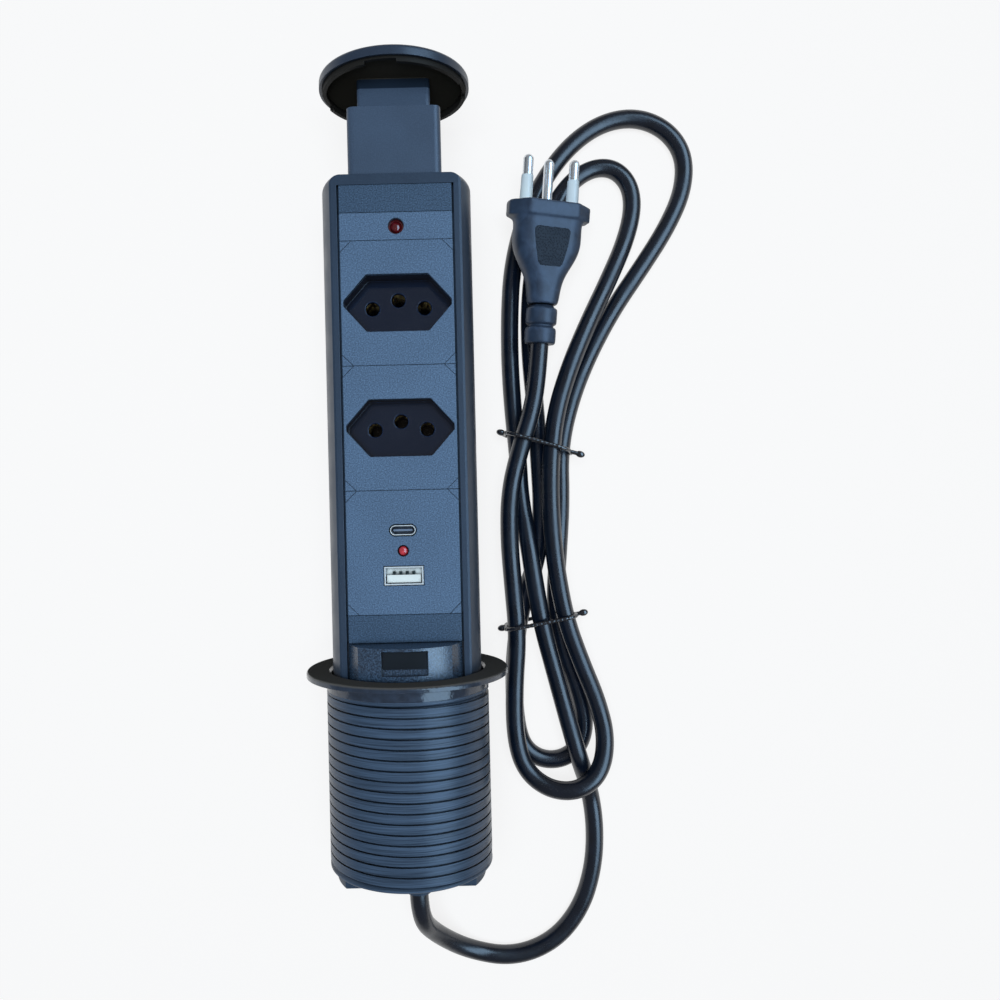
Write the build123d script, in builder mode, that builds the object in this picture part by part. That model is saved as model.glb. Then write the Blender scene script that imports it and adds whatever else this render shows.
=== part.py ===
# Pop up desk socket, laid on its back as on a bench: a round tower that slides up out of a
# threaded desk sleeve. +Y runs along the tower towards its cap, +Z is up and faces the outlets,
# and the origin is on the sleeve's axis, level with the underside of the desk flange.
from build123d import *
import os
from math import cos, pi, radians, sin, sqrt, tan

# Shared clearances, in millimetres
overrun = 1.0
seat_gap = 0.1
fit_gap = 0.05
slide_gap = 0.3

# Desk sleeve
sleeve_wall = 1.85
tower_play = 0.6
sleeve_length = 68.8
flange_overhang = 7.25
flange_thickness = 2.0
flange_rounding = 0.9
flange_lead_in = 1.0
collar_length = 4.7
spigot_wall = 0.5
spigot_length = 4.0
thread_pitch = 3.57
thread_end_land = 1.0
thread_depth = 0.7
groove_mouth_share = 0.46
key_width = 3.0
key_height = 1.3
key_top_drop = 9.0

# Tower
tower_front = 14.6
tower_wall = 2.0
front_strip = 2.37
head_thickness = 3.7
head_rounding = 3.0
edge_bevel = 0.5
side_groove = 0.7
rail_overlap = 0.7
rail_thickness = 2.0
neck_hole_width = 22.0
neck_hole_depth = 14.0

# Foot
foot_thickness = 4.5
foot_rounding = 1.0
plug_in_length = 6.0
foot_core_width = 24.0
foot_core_depth = 14.0
screw_shank_radius = 1.2
screw_head_radius = 2.2
screw_head_height = 1.2
screw_length = 6.5

# Cable gland
gland_x = 2.0
gland_z = -12.0
gland_flange_radius = 7.5
gland_flange_height = 2.6
gland_taper_length = 10.4
gland_root_radius = 6.2
gland_tip_radius = 4.9
gland_stem_radius = 5.4
gland_nut_width = 14.0
gland_nut_height = 4.0

# Modules behind the front window, stacked up from the latch block
modules_bottom = 13.1
panel_margin = 0.85
module_height = 44.0
outlet_height = 44.2
strip_height = 9.9
plate_thickness = 1.9
plate_setback = 0.2
frame_depth = 6.0
frame_wall = 1.4
frame_shelf = 4.0
corner_cut = 4.0
corner_gap = 0.12
flange_sheet = 1.2

# Outlet recess
recess_width = 38.3
recess_height = 20.3
recess_flat = 22.0
recess_tip = 2.0
recess_rounding = 1.0
recess_depth = 10.0
recess_wall = 0.8
recess_play = 0.15
recess_floor = 1.5
pin_pitch = 19.0
earth_offset = 3.0
pin_hole_radius = 2.5
pin_hole_chamfer = 0.25
contact_wall = 0.35
contact_length = 17.4
busbar_width = 4.0
busbar_thickness = 0.8
busbar_tail = 14.0

# Charging module
usb_c_rise = 7.8
usb_a_drop = 8.3
usb_led_rise = 0.5
usb_led_stand = 0.5
usb_c_margin = 0.4
usb_c_width = 9.0
usb_c_height = 3.5
usb_c_wall = 0.3
usb_c_tongue_width = 6.7
usb_c_tongue_height = 0.7
usb_a_margin = 0.25
usb_a_width = 13.8
usb_a_height = 6.5
usb_a_wall = 0.45
usb_a_tongue_width = 12.0
usb_a_tongue_height = 2.7
usb_a_tongue_drop = 1.1
usb_a_contact_width = 1.0
usb_a_contact_pitch = 2.3
usb_a_contact_height = 1.2
usb_depth = 13.0
usb_a_base_share = 0.8
usb_c_base_share = 0.5
tongue_setback = 1.2
board_width = 38.0
board_height = 38.0
board_thickness = 1.6
board_post_radius = 1.8
board_post_inset = 3.4
transformer_width = 17.0
transformer_height = 14.0
transformer_depth = 12.0
transformer_bevel = 0.7
capacitor_radius = 4.0
capacitor_length = 11.0

# Indicator lights
power_led_radius = 2.5
power_led_gap = 0.3
power_led_setback = 0.8
usb_led_radius = 1.9
usb_led_gap = 0.1
led_flange_height = 1.0
led_flange_overlap = 0.5
led_length = 8.6

# Latch block and release button
latch_length = 27.9
latch_face_half = 16.3
latch_wall = 2.4
latch_top_wall = 1.0
latch_window_margin = 0.5
latch_window_ledge = 2.6
latch_window_depth = 2.3
latch_window_drop = 1.0
button_width = 14.9
button_height = 5.8
button_setback = 1.1
button_travel = 2.5
button_plate_lip = 2.05
button_plate_thickness = 2.0
button_plate_rise = 1.5
catch_width = 8.0
catch_height = 3.0
spring_seat_thickness = 2.0
spring_seat_level = 8.8
button_post_radius = 1.9
button_post_length = 3.6
button_spring_radius = 2.6
button_spring_wire = 0.4
button_spring_turns = 4

# Neck, cap and its spring
neck_side_wall = 2.45
neck_front_wall = 3.4
neck_middle = 0.5
neck_height = 24.1
neck_rounding = 2.5
neck_floor = 2.5
neck_mouth_height = 2.0
stem_width = 26.3
stem_depth = 18.0
stem_rounding = 1.5
stem_lip = 0.8
stem_lip_height = 4.9
cap_travel = 10.5
cap_rest_gap = 1.5
cap_thickness = 3.7
cap_rounding = 1.4
cap_roof = 1.8
cap_rim_wall = 1.15
skirt_wall = 1.4
skirt_drop = 1.9
skirt_notch_width = 11.0
skirt_notch_depth = 1.1
skirt_notch_turn = 8.0
skirt_notches = 4
stem_disc_thickness = 1.2
cap_spring_pocket = 5.6
cap_spring_radius = 4.4
cap_spring_wire = 0.5
cap_spring_turns = 6

# Cord, with the points of its route at its centre
cord_radius = 3.6
least_cord_gap = 0.4
bend_share = 0.45
exit_point = (2.0, -86.6, -12.0)
lead_route = [
    exit_point,
    (2.0, -97.0, -12.0),
    (7.6, -109.0, -23.6),
    (21.0, -121.0, -33.4),
    (39.0, -124.5, -33.4),
    (56.0, -118.5, -33.4),
    (67.5, -105.0, -33.4),
    (73.0, -88.0, -33.4),
]
join_route = [
    (73.0, -88.0, -33.4),
    (74.0, -71.0, -33.4),
]
hank_route = [
    (74.0, -71.0, -33.4),
    (72.0, -56.0, -33.4),
    (66.4, -40.5, -23.8),
    (62.5, -25.0, -25.4),
    (58.0, -6.5, -26.4),
    (53.5, 11.0, -24.6),
    (50.6, 28.0, -23.4),
    (48.6, 45.0, -24.8),
    (46.4, 62.5, -31.6),
    (45.8, 80.0, -31.6),
    (44.3, 98.0, -31.6),
    (43.5, 117.0, -32.6),
    (43.8, 137.0, -33.4),
    (45.3, 157.0, -33.4),
    (50.5, 177.0, -33.4),
    (59.5, 194.0, -33.4),
    (70.5, 207.5, -33.4),
    (83.5, 216.0, -33.4),
    (97.5, 218.0, -33.4),
    (110.0, 212.5, -33.4),
    (117.0, 201.5, -33.4),
    (116.0, 187.0, -33.4),
    (108.5, 171.5, -33.4),
    (98.0, 156.0, -33.4),
    (86.5, 140.0, -33.4),
    (76.5, 122.5, -33.4),
    (68.0, 103.5, -31.8),
    (62.8, 83.0, -31.6),
    (62.9, 61.0, -31.6),
    (61.2, 40.0, -31.6),
    (59.2, 20.0, -31.6),
    (62.5, 1.0, -32.6),
    (68.0, -14.0, -33.4),
    (71.2, -28.5, -33.4),
    (68.5, -38.8, -33.4),
    (61.4, -44.0, -33.4),
    (52.6, -44.0, -33.4),
    (45.5, -38.8, -33.4),
    (42.6, -28.5, -33.4),
    (42.0, -11.0, -33.4),
    (43.5, 7.5, -32.0),
    (47.0, 23.5, -31.8),
    (52.8, 38.5, -31.8),
    (55.1, 57.0, -31.6),
    (54.4, 78.0, -31.6),
    (53.4, 100.0, -31.8),
    (51.8, 121.0, -33.2),
    (52.0, 142.0, -33.4),
    (54.5, 161.0, -33.4),
    (60.5, 178.0, -33.4),
    (68.5, 190.5, -33.4),
    (78.0, 197.3, -33.4),
    (87.5, 197.5, -33.4),
    (94.0, 191.0, -33.4),
    (95.5, 181.0, -33.4),
    (92.0, 167.5, -33.0),
    (84.5, 151.5, -31.0),
    (74.5, 132.5, -26.5),
    (66.0, 114.0, -23.8),
    (60.2, 96.0, -23.8),
    (57.8, 76.0, -23.8),
    (57.6, 55.0, -23.8),
    (59.2, 34.0, -23.8),
    (62.6, 14.0, -23.8),
    (68.5, -3.0, -25.0),
    (74.5, -18.0, -26.2),
    (78.0, -33.0, -25.8),
    (74.8, -45.5, -20.8),
    (65.6, -52.5, -19.1),
    (54.2, -52.3, -21.0),
    (45.0, -45.5, -24.2),
    (41.5, -33.0, -25.6),
    (41.5, -13.0, -25.4),
    (43.3, 8.0, -24.0),
    (42.0, 27.0, -23.8),
    (40.7, 47.0, -23.6),
    (41.4, 66.0, -23.8),
    (46.0, 83.0, -23.8),
    (50.8, 97.0, -23.8),
]

# Plug on the end of the cord
plug_lean = 4.8
plug_pitch = 3.5
plug_roll = 12.0
plug_x = 58.8
plug_y = 175.1
plug_z = -19.7
plug_face_width = 33.4
plug_face_height = 16.4
plug_face_flat = 20.0
plug_face_tip = 5.0
plug_face_thickness = 6.0
plug_face_rounding = 1.4
plug_body_length = 33.0
plug_body_lengths_share = (0.0, 0.24, 0.46, 0.65, 0.83, 1.0)
plug_body_widths_share = (0.85, 0.815, 0.70, 0.50, 0.40, 0.34)
plug_body_heights_share = (0.88, 0.88, 0.84, 0.78, 0.73, 0.69)
plug_body_rounding_share = 0.44
relief_core_radius = 4.7
relief_ring_radius = 6.2
relief_ring_length = 6.4
relief_slot = 1.3
relief_rings = 2
plug_pin_radius = 2.0
plug_pin_length = 18.4
plug_pin_root = 4.0
plug_pin_root_radius = 1.5
sleeve_cover_length = 10.3
sleeve_base_radius = 2.6
sleeve_tip_radius = 2.3
sleeve_root = 2.0
last_run = 14.0

# Ties round the hank
tie_width = 2.4
tie_thickness = 1.1
tie_rounding = 3.4
tie_low = -35.6
tie_high = -19.8
tie_knob_radius = 1.7
tie_tail = 3.0
upper_tie_y = 85.0
upper_tie_turn = -17.0
upper_tie_bottom = (40.4, 68.2)
upper_tie_top = (41.2, 63.7)
lower_tie_y = 13.7
lower_tie_turn = 10.0
lower_tie_bottom = (40.2, 64.6)
lower_tie_top = (38.8, 66.8)

# Widths and radii that follow, from the outlets' recess outwards to the flange
module_width = recess_width + 2 * panel_margin
frame_width = recess_width + 2 * recess_wall + 2 * recess_play + 2 * frame_wall
window_width = module_width + 2 * side_groove
tower_radius = sqrt((window_width / 2 + front_strip) ** 2 + tower_front**2)
bore_radius = tower_radius + tower_play
sleeve_radius = bore_radius + sleeve_wall
flange_radius = sleeve_radius + flange_overhang
cap_radius = bore_radius - slide_gap
rail_reach = frame_width / 2 - rail_overlap

# Heights of the seams between the modules, from the latch block up
latch_seam = modules_bottom
blank_bottom_seam = latch_seam + strip_height
usb_seam = blank_bottom_seam + module_height
outlet_lower_seam = usb_seam + outlet_height
outlet_upper_seam = outlet_lower_seam + outlet_height
led_seam = outlet_upper_seam + strip_height
blank_top_seam = led_seam + strip_height
outlet_upper_middle = outlet_upper_seam - outlet_height / 2
outlet_lower_middle = outlet_lower_seam - outlet_height / 2
usb_middle = usb_seam - module_height / 2
usb_led_y = usb_middle + usb_led_rise

# Other sizes that follow
shell_bottom = -sleeve_length - slide_gap
foot_bottom = shell_bottom - foot_thickness
inner_radius = tower_radius - tower_wall
inner_front = tower_front - tower_wall
window_top = blank_top_seam
tower_top = window_top + head_thickness
latch_top = modules_bottom - seat_gap
latch_bottom = latch_top - latch_length
window_bottom = latch_bottom - seat_gap
plate_front = tower_front - plate_setback
plate_back = plate_front - plate_thickness
frame_back = plate_back - frame_depth
half_gap = seat_gap / 2
spigot_radius = bore_radius + spigot_wall
recess_floor_level = plate_front - recess_depth
contact_top = recess_floor_level - recess_floor
neck_top = tower_top + neck_height
roof_level = neck_top + cap_rest_gap + cap_travel + stem_disc_thickness
cap_top = roof_level + cap_roof
cap_underside = cap_top - cap_thickness
tower_travel = cap_top - flange_thickness - cap_travel

def across(y):
    """A plane square to the tower at height y: its x is the part's X and its y is the part's Z."""
    return Plane(origin=(0, y, 0), x_dir=(1, 0, 0), z_dir=(0, -1, 0))


def facing(z):
    """A plane that faces the outlets at level z, with the part's own X and Y."""
    return Plane.XY.offset(z)


def d_section(radius, front):
    """A round section with a flat front."""
    Circle(radius)
    with Locations((0, front - radius)):
        Rectangle(2 * radius, 2 * radius, mode=Mode.INTERSECT)


def long_hexagon(width, height, flat, tip, rounding):
    """A flat-topped six-sided outline whose two side tips are cut short."""
    with BuildSketch() as outline:
        with BuildLine():
            Polyline(
                (-flat / 2, height / 2),
                (flat / 2, height / 2),
                (width / 2, tip / 2),
                (width / 2, -tip / 2),
                (flat / 2, -height / 2),
                (-flat / 2, -height / 2),
                (-width / 2, -tip / 2),
                (-width / 2, tip / 2),
                close=True,
            )
        make_face()
        fillet(outline.vertices(), rounding)
    return outline.sketch


def cut_corners(width, height, cut):
    """A rectangle with its four corners cut off at 45 degrees."""
    outline = Rectangle(width, height)
    chamfer(outline.vertices(), cut)


def finish(piece, name):
    """Names a finished piece and writes it."""
    piece.part.label = name
    export_step(piece.part, "parts/" + name + ".step")


os.makedirs("parts", exist_ok=True)

# Flange ring: the rim that rests on the desk, its smooth collar and a spigot inside the sleeve
with BuildPart() as flange_ring:
    with BuildSketch(across(flange_thickness)):
        Circle(flange_radius)
    extrude(amount=flange_thickness)
    rim = flange_ring.edges().group_by(Axis.Y)[-1]
    fillet(rim, flange_rounding)
    with BuildSketch(across(0)):
        Circle(sleeve_radius)
    extrude(amount=collar_length)
    with BuildSketch(across(-collar_length)):
        Circle(spigot_radius)
    extrude(amount=spigot_length)
    with BuildSketch(across(flange_thickness + overrun)):
        Circle(bore_radius)
    extrude(amount=flange_thickness + collar_length + spigot_length + 2 * overrun, mode=Mode.SUBTRACT)
    mouth = flange_ring.edges().filter_by(GeomType.CIRCLE).group_by(Axis.Y)[-1]
    chamfer(mouth.sort_by(SortBy.RADIUS)[0], flange_lead_in)
finish(flange_ring, "flange_ring")

# Threaded sleeve: a thin tube with thread ridges outside and a key inside, below the collar
groove_mouth = thread_pitch * groove_mouth_share
thread_length = sleeve_length - collar_length - thread_end_land - groove_mouth
thread_turns = int(thread_length / thread_pitch) + 1
sleeve_outline = [(bore_radius, -sleeve_length), (sleeve_radius, -sleeve_length)]
for turn in reversed(range(thread_turns)):
    groove_top = -collar_length - turn * thread_pitch
    sleeve_outline.append((sleeve_radius, groove_top - groove_mouth))
    sleeve_outline.append((sleeve_radius - thread_depth, groove_top - groove_mouth / 2))
    sleeve_outline.append((sleeve_radius, groove_top))
socket_bottom = -collar_length - spigot_length - fit_gap
sleeve_outline.append((spigot_radius + fit_gap, -collar_length))
sleeve_outline.append((spigot_radius + fit_gap, socket_bottom))
sleeve_outline.append((bore_radius, socket_bottom))
with BuildPart() as threaded_sleeve:
    with BuildSketch(Plane.XY):
        with BuildLine():
            Polyline(*sleeve_outline, close=True)
        make_face()
    revolve(axis=Axis.Y)
    with BuildSketch(across(-key_top_drop)):
        with Locations((0, -bore_radius)):
            Rectangle(key_width, 2 * key_height)
        Circle(bore_radius + fit_gap, mode=Mode.INTERSECT)
    extrude(amount=sleeve_length - key_top_drop)
finish(threaded_sleeve, "threaded_sleeve")

# Tower shell: a D-shaped tube with a closed head, a long front window and rails behind it
key_groove_depth = key_height - (bore_radius - tower_radius) + slide_gap
key_groove_width = key_width + 2 * slide_gap
with BuildPart() as tower_shell:
    with BuildSketch(across(tower_top)):
        d_section(tower_radius, tower_front)
    extrude(amount=tower_top - shell_bottom)
    chamfer(tower_shell.edges().filter_by(Axis.Y), edge_bevel)
    head_edge = tower_shell.edges().filter_by(GeomType.CIRCLE).sort_by(Axis.Y)[-1]
    fillet(head_edge, head_rounding)
    with BuildSketch(across(window_top)):
        d_section(inner_radius, inner_front)
    extrude(amount=window_top - shell_bottom + overrun, mode=Mode.SUBTRACT)
    with BuildSketch(across(window_top)):
        with Locations((-inner_radius, frame_back - half_gap), (inner_radius, frame_back - half_gap)):
            Rectangle(2 * (inner_radius - rail_reach), rail_thickness, align=(Align.CENTER, Align.MAX))
        Circle(inner_radius + fit_gap, mode=Mode.INTERSECT)
    extrude(amount=window_top - window_bottom)
    with BuildSketch(facing(tower_front + overrun)):
        with Locations((0, (window_top + window_bottom) / 2)):
            Rectangle(window_width, window_top - window_bottom)
    extrude(amount=-(tower_wall + 2 * overrun), mode=Mode.SUBTRACT)
    with BuildSketch(across(tower_top + overrun)):
        with Locations((0, -tower_radius)):
            Rectangle(key_groove_width, 2 * key_groove_depth)
        with Locations((0, neck_middle)):
            Rectangle(neck_hole_width, neck_hole_depth)
    extrude(amount=head_thickness + 2 * overrun, mode=Mode.SUBTRACT)
    with BuildSketch(across(tower_top)):
        with Locations((0, -tower_radius)):
            Rectangle(key_groove_width, 2 * key_groove_depth)
    extrude(amount=tower_top - shell_bottom + overrun, mode=Mode.SUBTRACT)
    screw_y = shell_bottom + plug_in_length / 2
    for side in (-1, 1):
        shank_plane = Plane(origin=(side * (tower_radius + overrun), screw_y, 0), z_dir=(-side, 0, 0))
        with BuildSketch(shank_plane):
            Circle(screw_shank_radius + fit_gap)
        extrude(amount=tower_wall + 2 * overrun, mode=Mode.SUBTRACT)
        with BuildSketch(shank_plane):
            Circle(screw_head_radius + fit_gap)
        extrude(amount=overrun + screw_head_height, mode=Mode.SUBTRACT)
finish(tower_shell, "tower_shell")

# Foot: closes the shell's lower end, stops against the key and carries the cable gland
with BuildPart() as tower_foot:
    with BuildSketch(across(shell_bottom)):
        d_section(tower_radius, tower_front)
    extrude(amount=foot_thickness)
    fillet(tower_foot.edges().group_by(Axis.Y)[0], foot_rounding)
    with BuildSketch(across(shell_bottom + plug_in_length)):
        d_section(inner_radius - seat_gap, inner_front - seat_gap)
    extrude(amount=plug_in_length)
    with BuildSketch(across(shell_bottom + plug_in_length)):
        with Locations((gland_x, gland_z)):
            Rectangle(foot_core_width, foot_core_depth)
    extrude(amount=plug_in_length, mode=Mode.SUBTRACT)
    with BuildSketch(across(shell_bottom + plug_in_length)):
        with Locations((gland_x, gland_z)):
            Circle(gland_stem_radius + seat_gap)
    extrude(amount=plug_in_length + foot_thickness + overrun, mode=Mode.SUBTRACT)
    for side in (-1, 1):
        bore_plane = Plane(origin=(side * tower_radius, screw_y, 0), z_dir=(-side, 0, 0))
        with BuildSketch(bore_plane):
            Circle(screw_shank_radius + fit_gap)
        extrude(amount=screw_length + screw_head_height, mode=Mode.SUBTRACT)
finish(tower_foot, "tower_foot")

# Two screws that hold the foot, their heads sunk below the shell's surface
with BuildPart() as foot_screws:
    for side in (-1, 1):
        head_plane = Plane(
            origin=(side * (tower_radius - screw_head_height), screw_y, 0), z_dir=(side, 0, 0)
        )
        with BuildSketch(head_plane):
            Circle(screw_head_radius)
        extrude(amount=screw_head_height - seat_gap)
        with BuildSketch(head_plane):
            Circle(screw_shank_radius)
        extrude(amount=-(screw_length - seat_gap))
finish(foot_screws, "foot_screws")

# Cable gland under the foot, and its nut inside
gland_end = foot_bottom - gland_flange_height - gland_taper_length
gland_axis_plane = across(foot_bottom)
with BuildPart() as cable_gland:
    with BuildSketch(gland_axis_plane):
        with Locations((gland_x, gland_z)):
            Circle(gland_flange_radius)
    extrude(amount=gland_flange_height)
    with BuildSketch(across(foot_bottom - gland_flange_height)):
        with Locations((gland_x, gland_z)):
            Circle(gland_root_radius)
    with BuildSketch(across(gland_end)):
        with Locations((gland_x, gland_z)):
            Circle(gland_tip_radius)
    loft()
    with BuildSketch(gland_axis_plane):
        with Locations((gland_x, gland_z)):
            Circle(gland_stem_radius)
    extrude(amount=-(foot_thickness + gland_nut_height + seat_gap))
finish(cable_gland, "cable_gland")

with BuildPart() as gland_nut:
    with BuildSketch(across(shell_bottom + gland_nut_height + fit_gap)):
        with Locations((gland_x, gland_z)):
            RegularPolygon(gland_nut_width / 2, 6, major_radius=False)
            Circle(gland_stem_radius + fit_gap, mode=Mode.SUBTRACT)
    extrude(amount=gland_nut_height)
finish(gland_nut, "gland_nut")


def strip(name, seam, led_hole=0.0):
    """A low cover strip across the window, hollow behind, with ears that slide in the rails."""
    middle = seam - strip_height / 2
    height = strip_height - seat_gap
    with BuildPart() as piece:
        with BuildSketch(facing(plate_back)):
            with Locations((0, middle)):
                Rectangle(module_width, height)
        extrude(amount=plate_thickness)
        with BuildSketch(facing(plate_back)):
            with Locations((0, middle)):
                Rectangle(frame_width, height)
                Rectangle(frame_width - 4 * frame_wall, height - 2 * frame_wall, mode=Mode.SUBTRACT)
        extrude(amount=-frame_depth)
        if led_hole:
            with BuildSketch(facing(plate_front + overrun)):
                with Locations((0, middle)):
                    Circle(led_hole)
            extrude(amount=-(plate_thickness + 2 * overrun), mode=Mode.SUBTRACT)
    finish(piece, name)


strip("blank_strip_top", blank_top_seam)
strip("led_strip", led_seam, power_led_radius + power_led_gap)
strip("blank_strip_bottom", blank_bottom_seam)


def light(name, y, radius, top):
    """A round indicator light with a domed front and a collar behind the panel."""
    with BuildPart() as piece:
        with BuildSketch(facing(top - radius)):
            with Locations((0, y)):
                Circle(radius)
        extrude(amount=radius - led_length)
        with BuildSketch(facing(plate_back - fit_gap)):
            with Locations((0, y)):
                Circle(radius + led_flange_overlap)
        extrude(amount=-led_flange_height)
        with Locations((0, y, top - radius)):
            Sphere(radius)
    finish(piece, name)


light("power_led", led_seam - strip_height / 2, power_led_radius, plate_front - power_led_setback)
light("usb_led", usb_led_y, usb_led_radius, plate_front + usb_led_stand)


def corner_triangles(width, height, leg):
    """The four corners of a rectangle, each cut off at 45 degrees."""
    with BuildSketch() as corners:
        for side_x in (-1, 1):
            for side_y in (-1, 1):
                with BuildLine():
                    Polyline(
                        (side_x * width / 2, side_y * height / 2),
                        (side_x * (width / 2 - leg), side_y * height / 2),
                        (side_x * width / 2, side_y * (height / 2 - leg)),
                        close=True,
                    )
                make_face()
    return corners.sketch


def module_frame(name, middle, height, posts=False):
    """The carrier of a module: a shelf in the rails, with its four corners showing in front."""
    tall = height - seat_gap
    corners = corner_triangles(module_width, tall, corner_cut - corner_gap)
    with BuildPart() as piece:
        with BuildSketch(facing(plate_back)):
            with Locations((0, middle)):
                Rectangle(frame_width, tall)
                Rectangle(frame_width - 2 * frame_wall, tall - 2 * frame_shelf, mode=Mode.SUBTRACT)
        extrude(amount=-frame_depth)
        with BuildSketch(facing(plate_back)):
            with Locations((0, middle)):
                Rectangle(frame_width - 2 * frame_wall, tall - 2 * frame_wall)
        extrude(amount=-flange_sheet - fit_gap, mode=Mode.SUBTRACT)
        with BuildSketch(facing(plate_front)):
            with Locations((0, middle)):
                add(corners)
        extrude(amount=-(plate_thickness + flange_sheet + fit_gap))
        if posts:
            reach_x = module_width / 2 - board_post_inset
            reach_y = tall / 2 - board_post_inset
            with BuildSketch(facing(plate_back - flange_sheet - fit_gap)):
                with Locations((0, middle)):
                    with GridLocations(2 * reach_x, 2 * reach_y, 2, 2):
                        Circle(board_post_radius)
            extrude(amount=-(plate_back - flange_sheet - fit_gap - board_top))
    finish(piece, name)


def panel_outline(middle, height, trim):
    """The front panel of a module, smaller all round by trim."""
    with Locations((0, middle)):
        cut_corners(module_width - 2 * trim, height - seat_gap - 2 * trim, corner_cut - trim)


board_top = plate_front - usb_depth
outlets = {"upper": outlet_upper_middle, "lower": outlet_lower_middle}
recess_outline = long_hexagon(recess_width, recess_height, recess_flat, recess_tip, recess_rounding)
cup_outline = long_hexagon(
    recess_width + 2 * recess_wall,
    recess_height + 2 * recess_wall,
    recess_flat + recess_wall,
    recess_tip + recess_wall,
    recess_rounding + recess_wall,
)
contact_places = {
    "live": (-pin_pitch / 2, 0.0),
    "neutral": (pin_pitch / 2, 0.0),
    "earth": (0.0, earth_offset),
}
for level, middle in outlets.items():
    module_frame("outlet_frame_" + level, middle, outlet_height)

    # Textured front panel with the six-sided opening
    with BuildPart() as panel:
        with BuildSketch(facing(plate_front)):
            panel_outline(middle, outlet_height, 0)
        extrude(amount=-plate_thickness)
        with BuildSketch(facing(plate_front + overrun)):
            with Locations((0, middle)):
                add(recess_outline)
        extrude(amount=-(plate_thickness + 2 * overrun), mode=Mode.SUBTRACT)
    finish(panel, "outlet_panel_" + level)

    # Glossy socket: a sheet behind the panel and a six-sided cup with three holes in its floor
    with BuildPart() as socket:
        with BuildSketch(facing(plate_back - fit_gap)):
            panel_outline(middle, outlet_height - 2 * frame_wall, corner_gap)
        extrude(amount=-flange_sheet)
        with BuildSketch(facing(plate_back - fit_gap)):
            with Locations((0, middle)):
                add(cup_outline)
        extrude(amount=-(plate_back - fit_gap - contact_top))
        with BuildSketch(facing(plate_front)):
            with Locations((0, middle)):
                add(recess_outline)
        extrude(amount=-recess_depth, mode=Mode.SUBTRACT)
        for place in contact_places.values():
            with BuildSketch(facing(recess_floor_level + overrun)):
                with Locations((place[0], middle + place[1])):
                    Circle(pin_hole_radius)
            extrude(amount=-(recess_floor + 2 * overrun), mode=Mode.SUBTRACT)
        hole_rims = socket.edges().filter_by(GeomType.CIRCLE)
        hole_rims = [
            edge
            for edge in hole_rims
            if abs(edge.radius - pin_hole_radius) < fit_gap
            and abs(edge.center().Z - recess_floor_level) < fit_gap
        ]
        chamfer(hole_rims, pin_hole_chamfer)
    finish(socket, "outlet_socket_" + level)

# Brass rails: one for each pole, with a contact tube behind each outlet
contact_bottom = contact_top - contact_length
for pole, place in contact_places.items():
    with BuildPart() as busbar:
        for middle in outlets.values():
            with BuildSketch(facing(contact_top)):
                with Locations((place[0], middle + place[1])):
                    Circle(pin_hole_radius + contact_wall)
                    Circle(pin_hole_radius, mode=Mode.SUBTRACT)
            extrude(amount=-contact_length)
        with BuildSketch(facing(contact_bottom)):
            rail_high = outlet_upper_middle + place[1]
            rail_low = outlet_lower_middle + place[1] - busbar_tail
            with Locations((place[0], (rail_high + rail_low) / 2)):
                Rectangle(busbar_width, rail_high - rail_low)
        extrude(amount=-busbar_thickness)
    finish(busbar, pole + "_busbar")

# Charging module: frame with posts, panel, two ports on a circuit board
module_frame("usb_frame", usb_middle, module_height, posts=True)
usb_c_y = usb_middle + usb_c_rise
usb_a_y = usb_middle - usb_a_drop
with BuildPart() as usb_panel:
    with BuildSketch(facing(plate_front)):
        panel_outline(usb_middle, module_height, 0)
    extrude(amount=-plate_thickness)
    with BuildSketch(facing(plate_front + overrun)):
        with Locations((0, usb_c_y)):
            SlotOverall(usb_c_width + 2 * usb_c_margin, usb_c_height + 2 * usb_c_margin)
        with Locations((0, usb_a_y)):
            Rectangle(usb_a_width + 2 * usb_a_margin, usb_a_height + 2 * usb_a_margin)
        with Locations((0, usb_led_y)):
            Circle(usb_led_radius + usb_led_gap)
    extrude(amount=-(plate_thickness + 2 * overrun), mode=Mode.SUBTRACT)
finish(usb_panel, "usb_panel")

with BuildPart() as usb_c_shell:
    with BuildSketch(facing(plate_front - fit_gap)):
        with Locations((0, usb_c_y)):
            SlotOverall(usb_c_width, usb_c_height)
            SlotOverall(usb_c_width - 2 * usb_c_wall, usb_c_height - 2 * usb_c_wall, mode=Mode.SUBTRACT)
    extrude(amount=-(usb_depth - fit_gap))
finish(usb_c_shell, "usb_c_shell")

with BuildPart() as usb_c_tongue:
    with BuildSketch(facing(board_top)):
        with Locations((0, usb_c_y)):
            SlotOverall(
                usb_c_width - 2 * usb_c_wall - 2 * fit_gap, usb_c_height - 2 * usb_c_wall - 2 * fit_gap
            )
    extrude(amount=usb_c_base_share * usb_depth)
    with BuildSketch(facing(board_top)):
        with Locations((0, usb_c_y)):
            Rectangle(usb_c_tongue_width, usb_c_tongue_height)
    extrude(amount=usb_depth - tongue_setback)
finish(usb_c_tongue, "usb_c_tongue")

with BuildPart() as usb_a_shell:
    with BuildSketch(facing(plate_front - fit_gap)):
        with Locations((0, usb_a_y)):
            Rectangle(usb_a_width, usb_a_height)
            Rectangle(usb_a_width - 2 * usb_a_wall, usb_a_height - 2 * usb_a_wall, mode=Mode.SUBTRACT)
    extrude(amount=-(usb_depth - fit_gap))
finish(usb_a_shell, "usb_a_shell")

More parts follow.
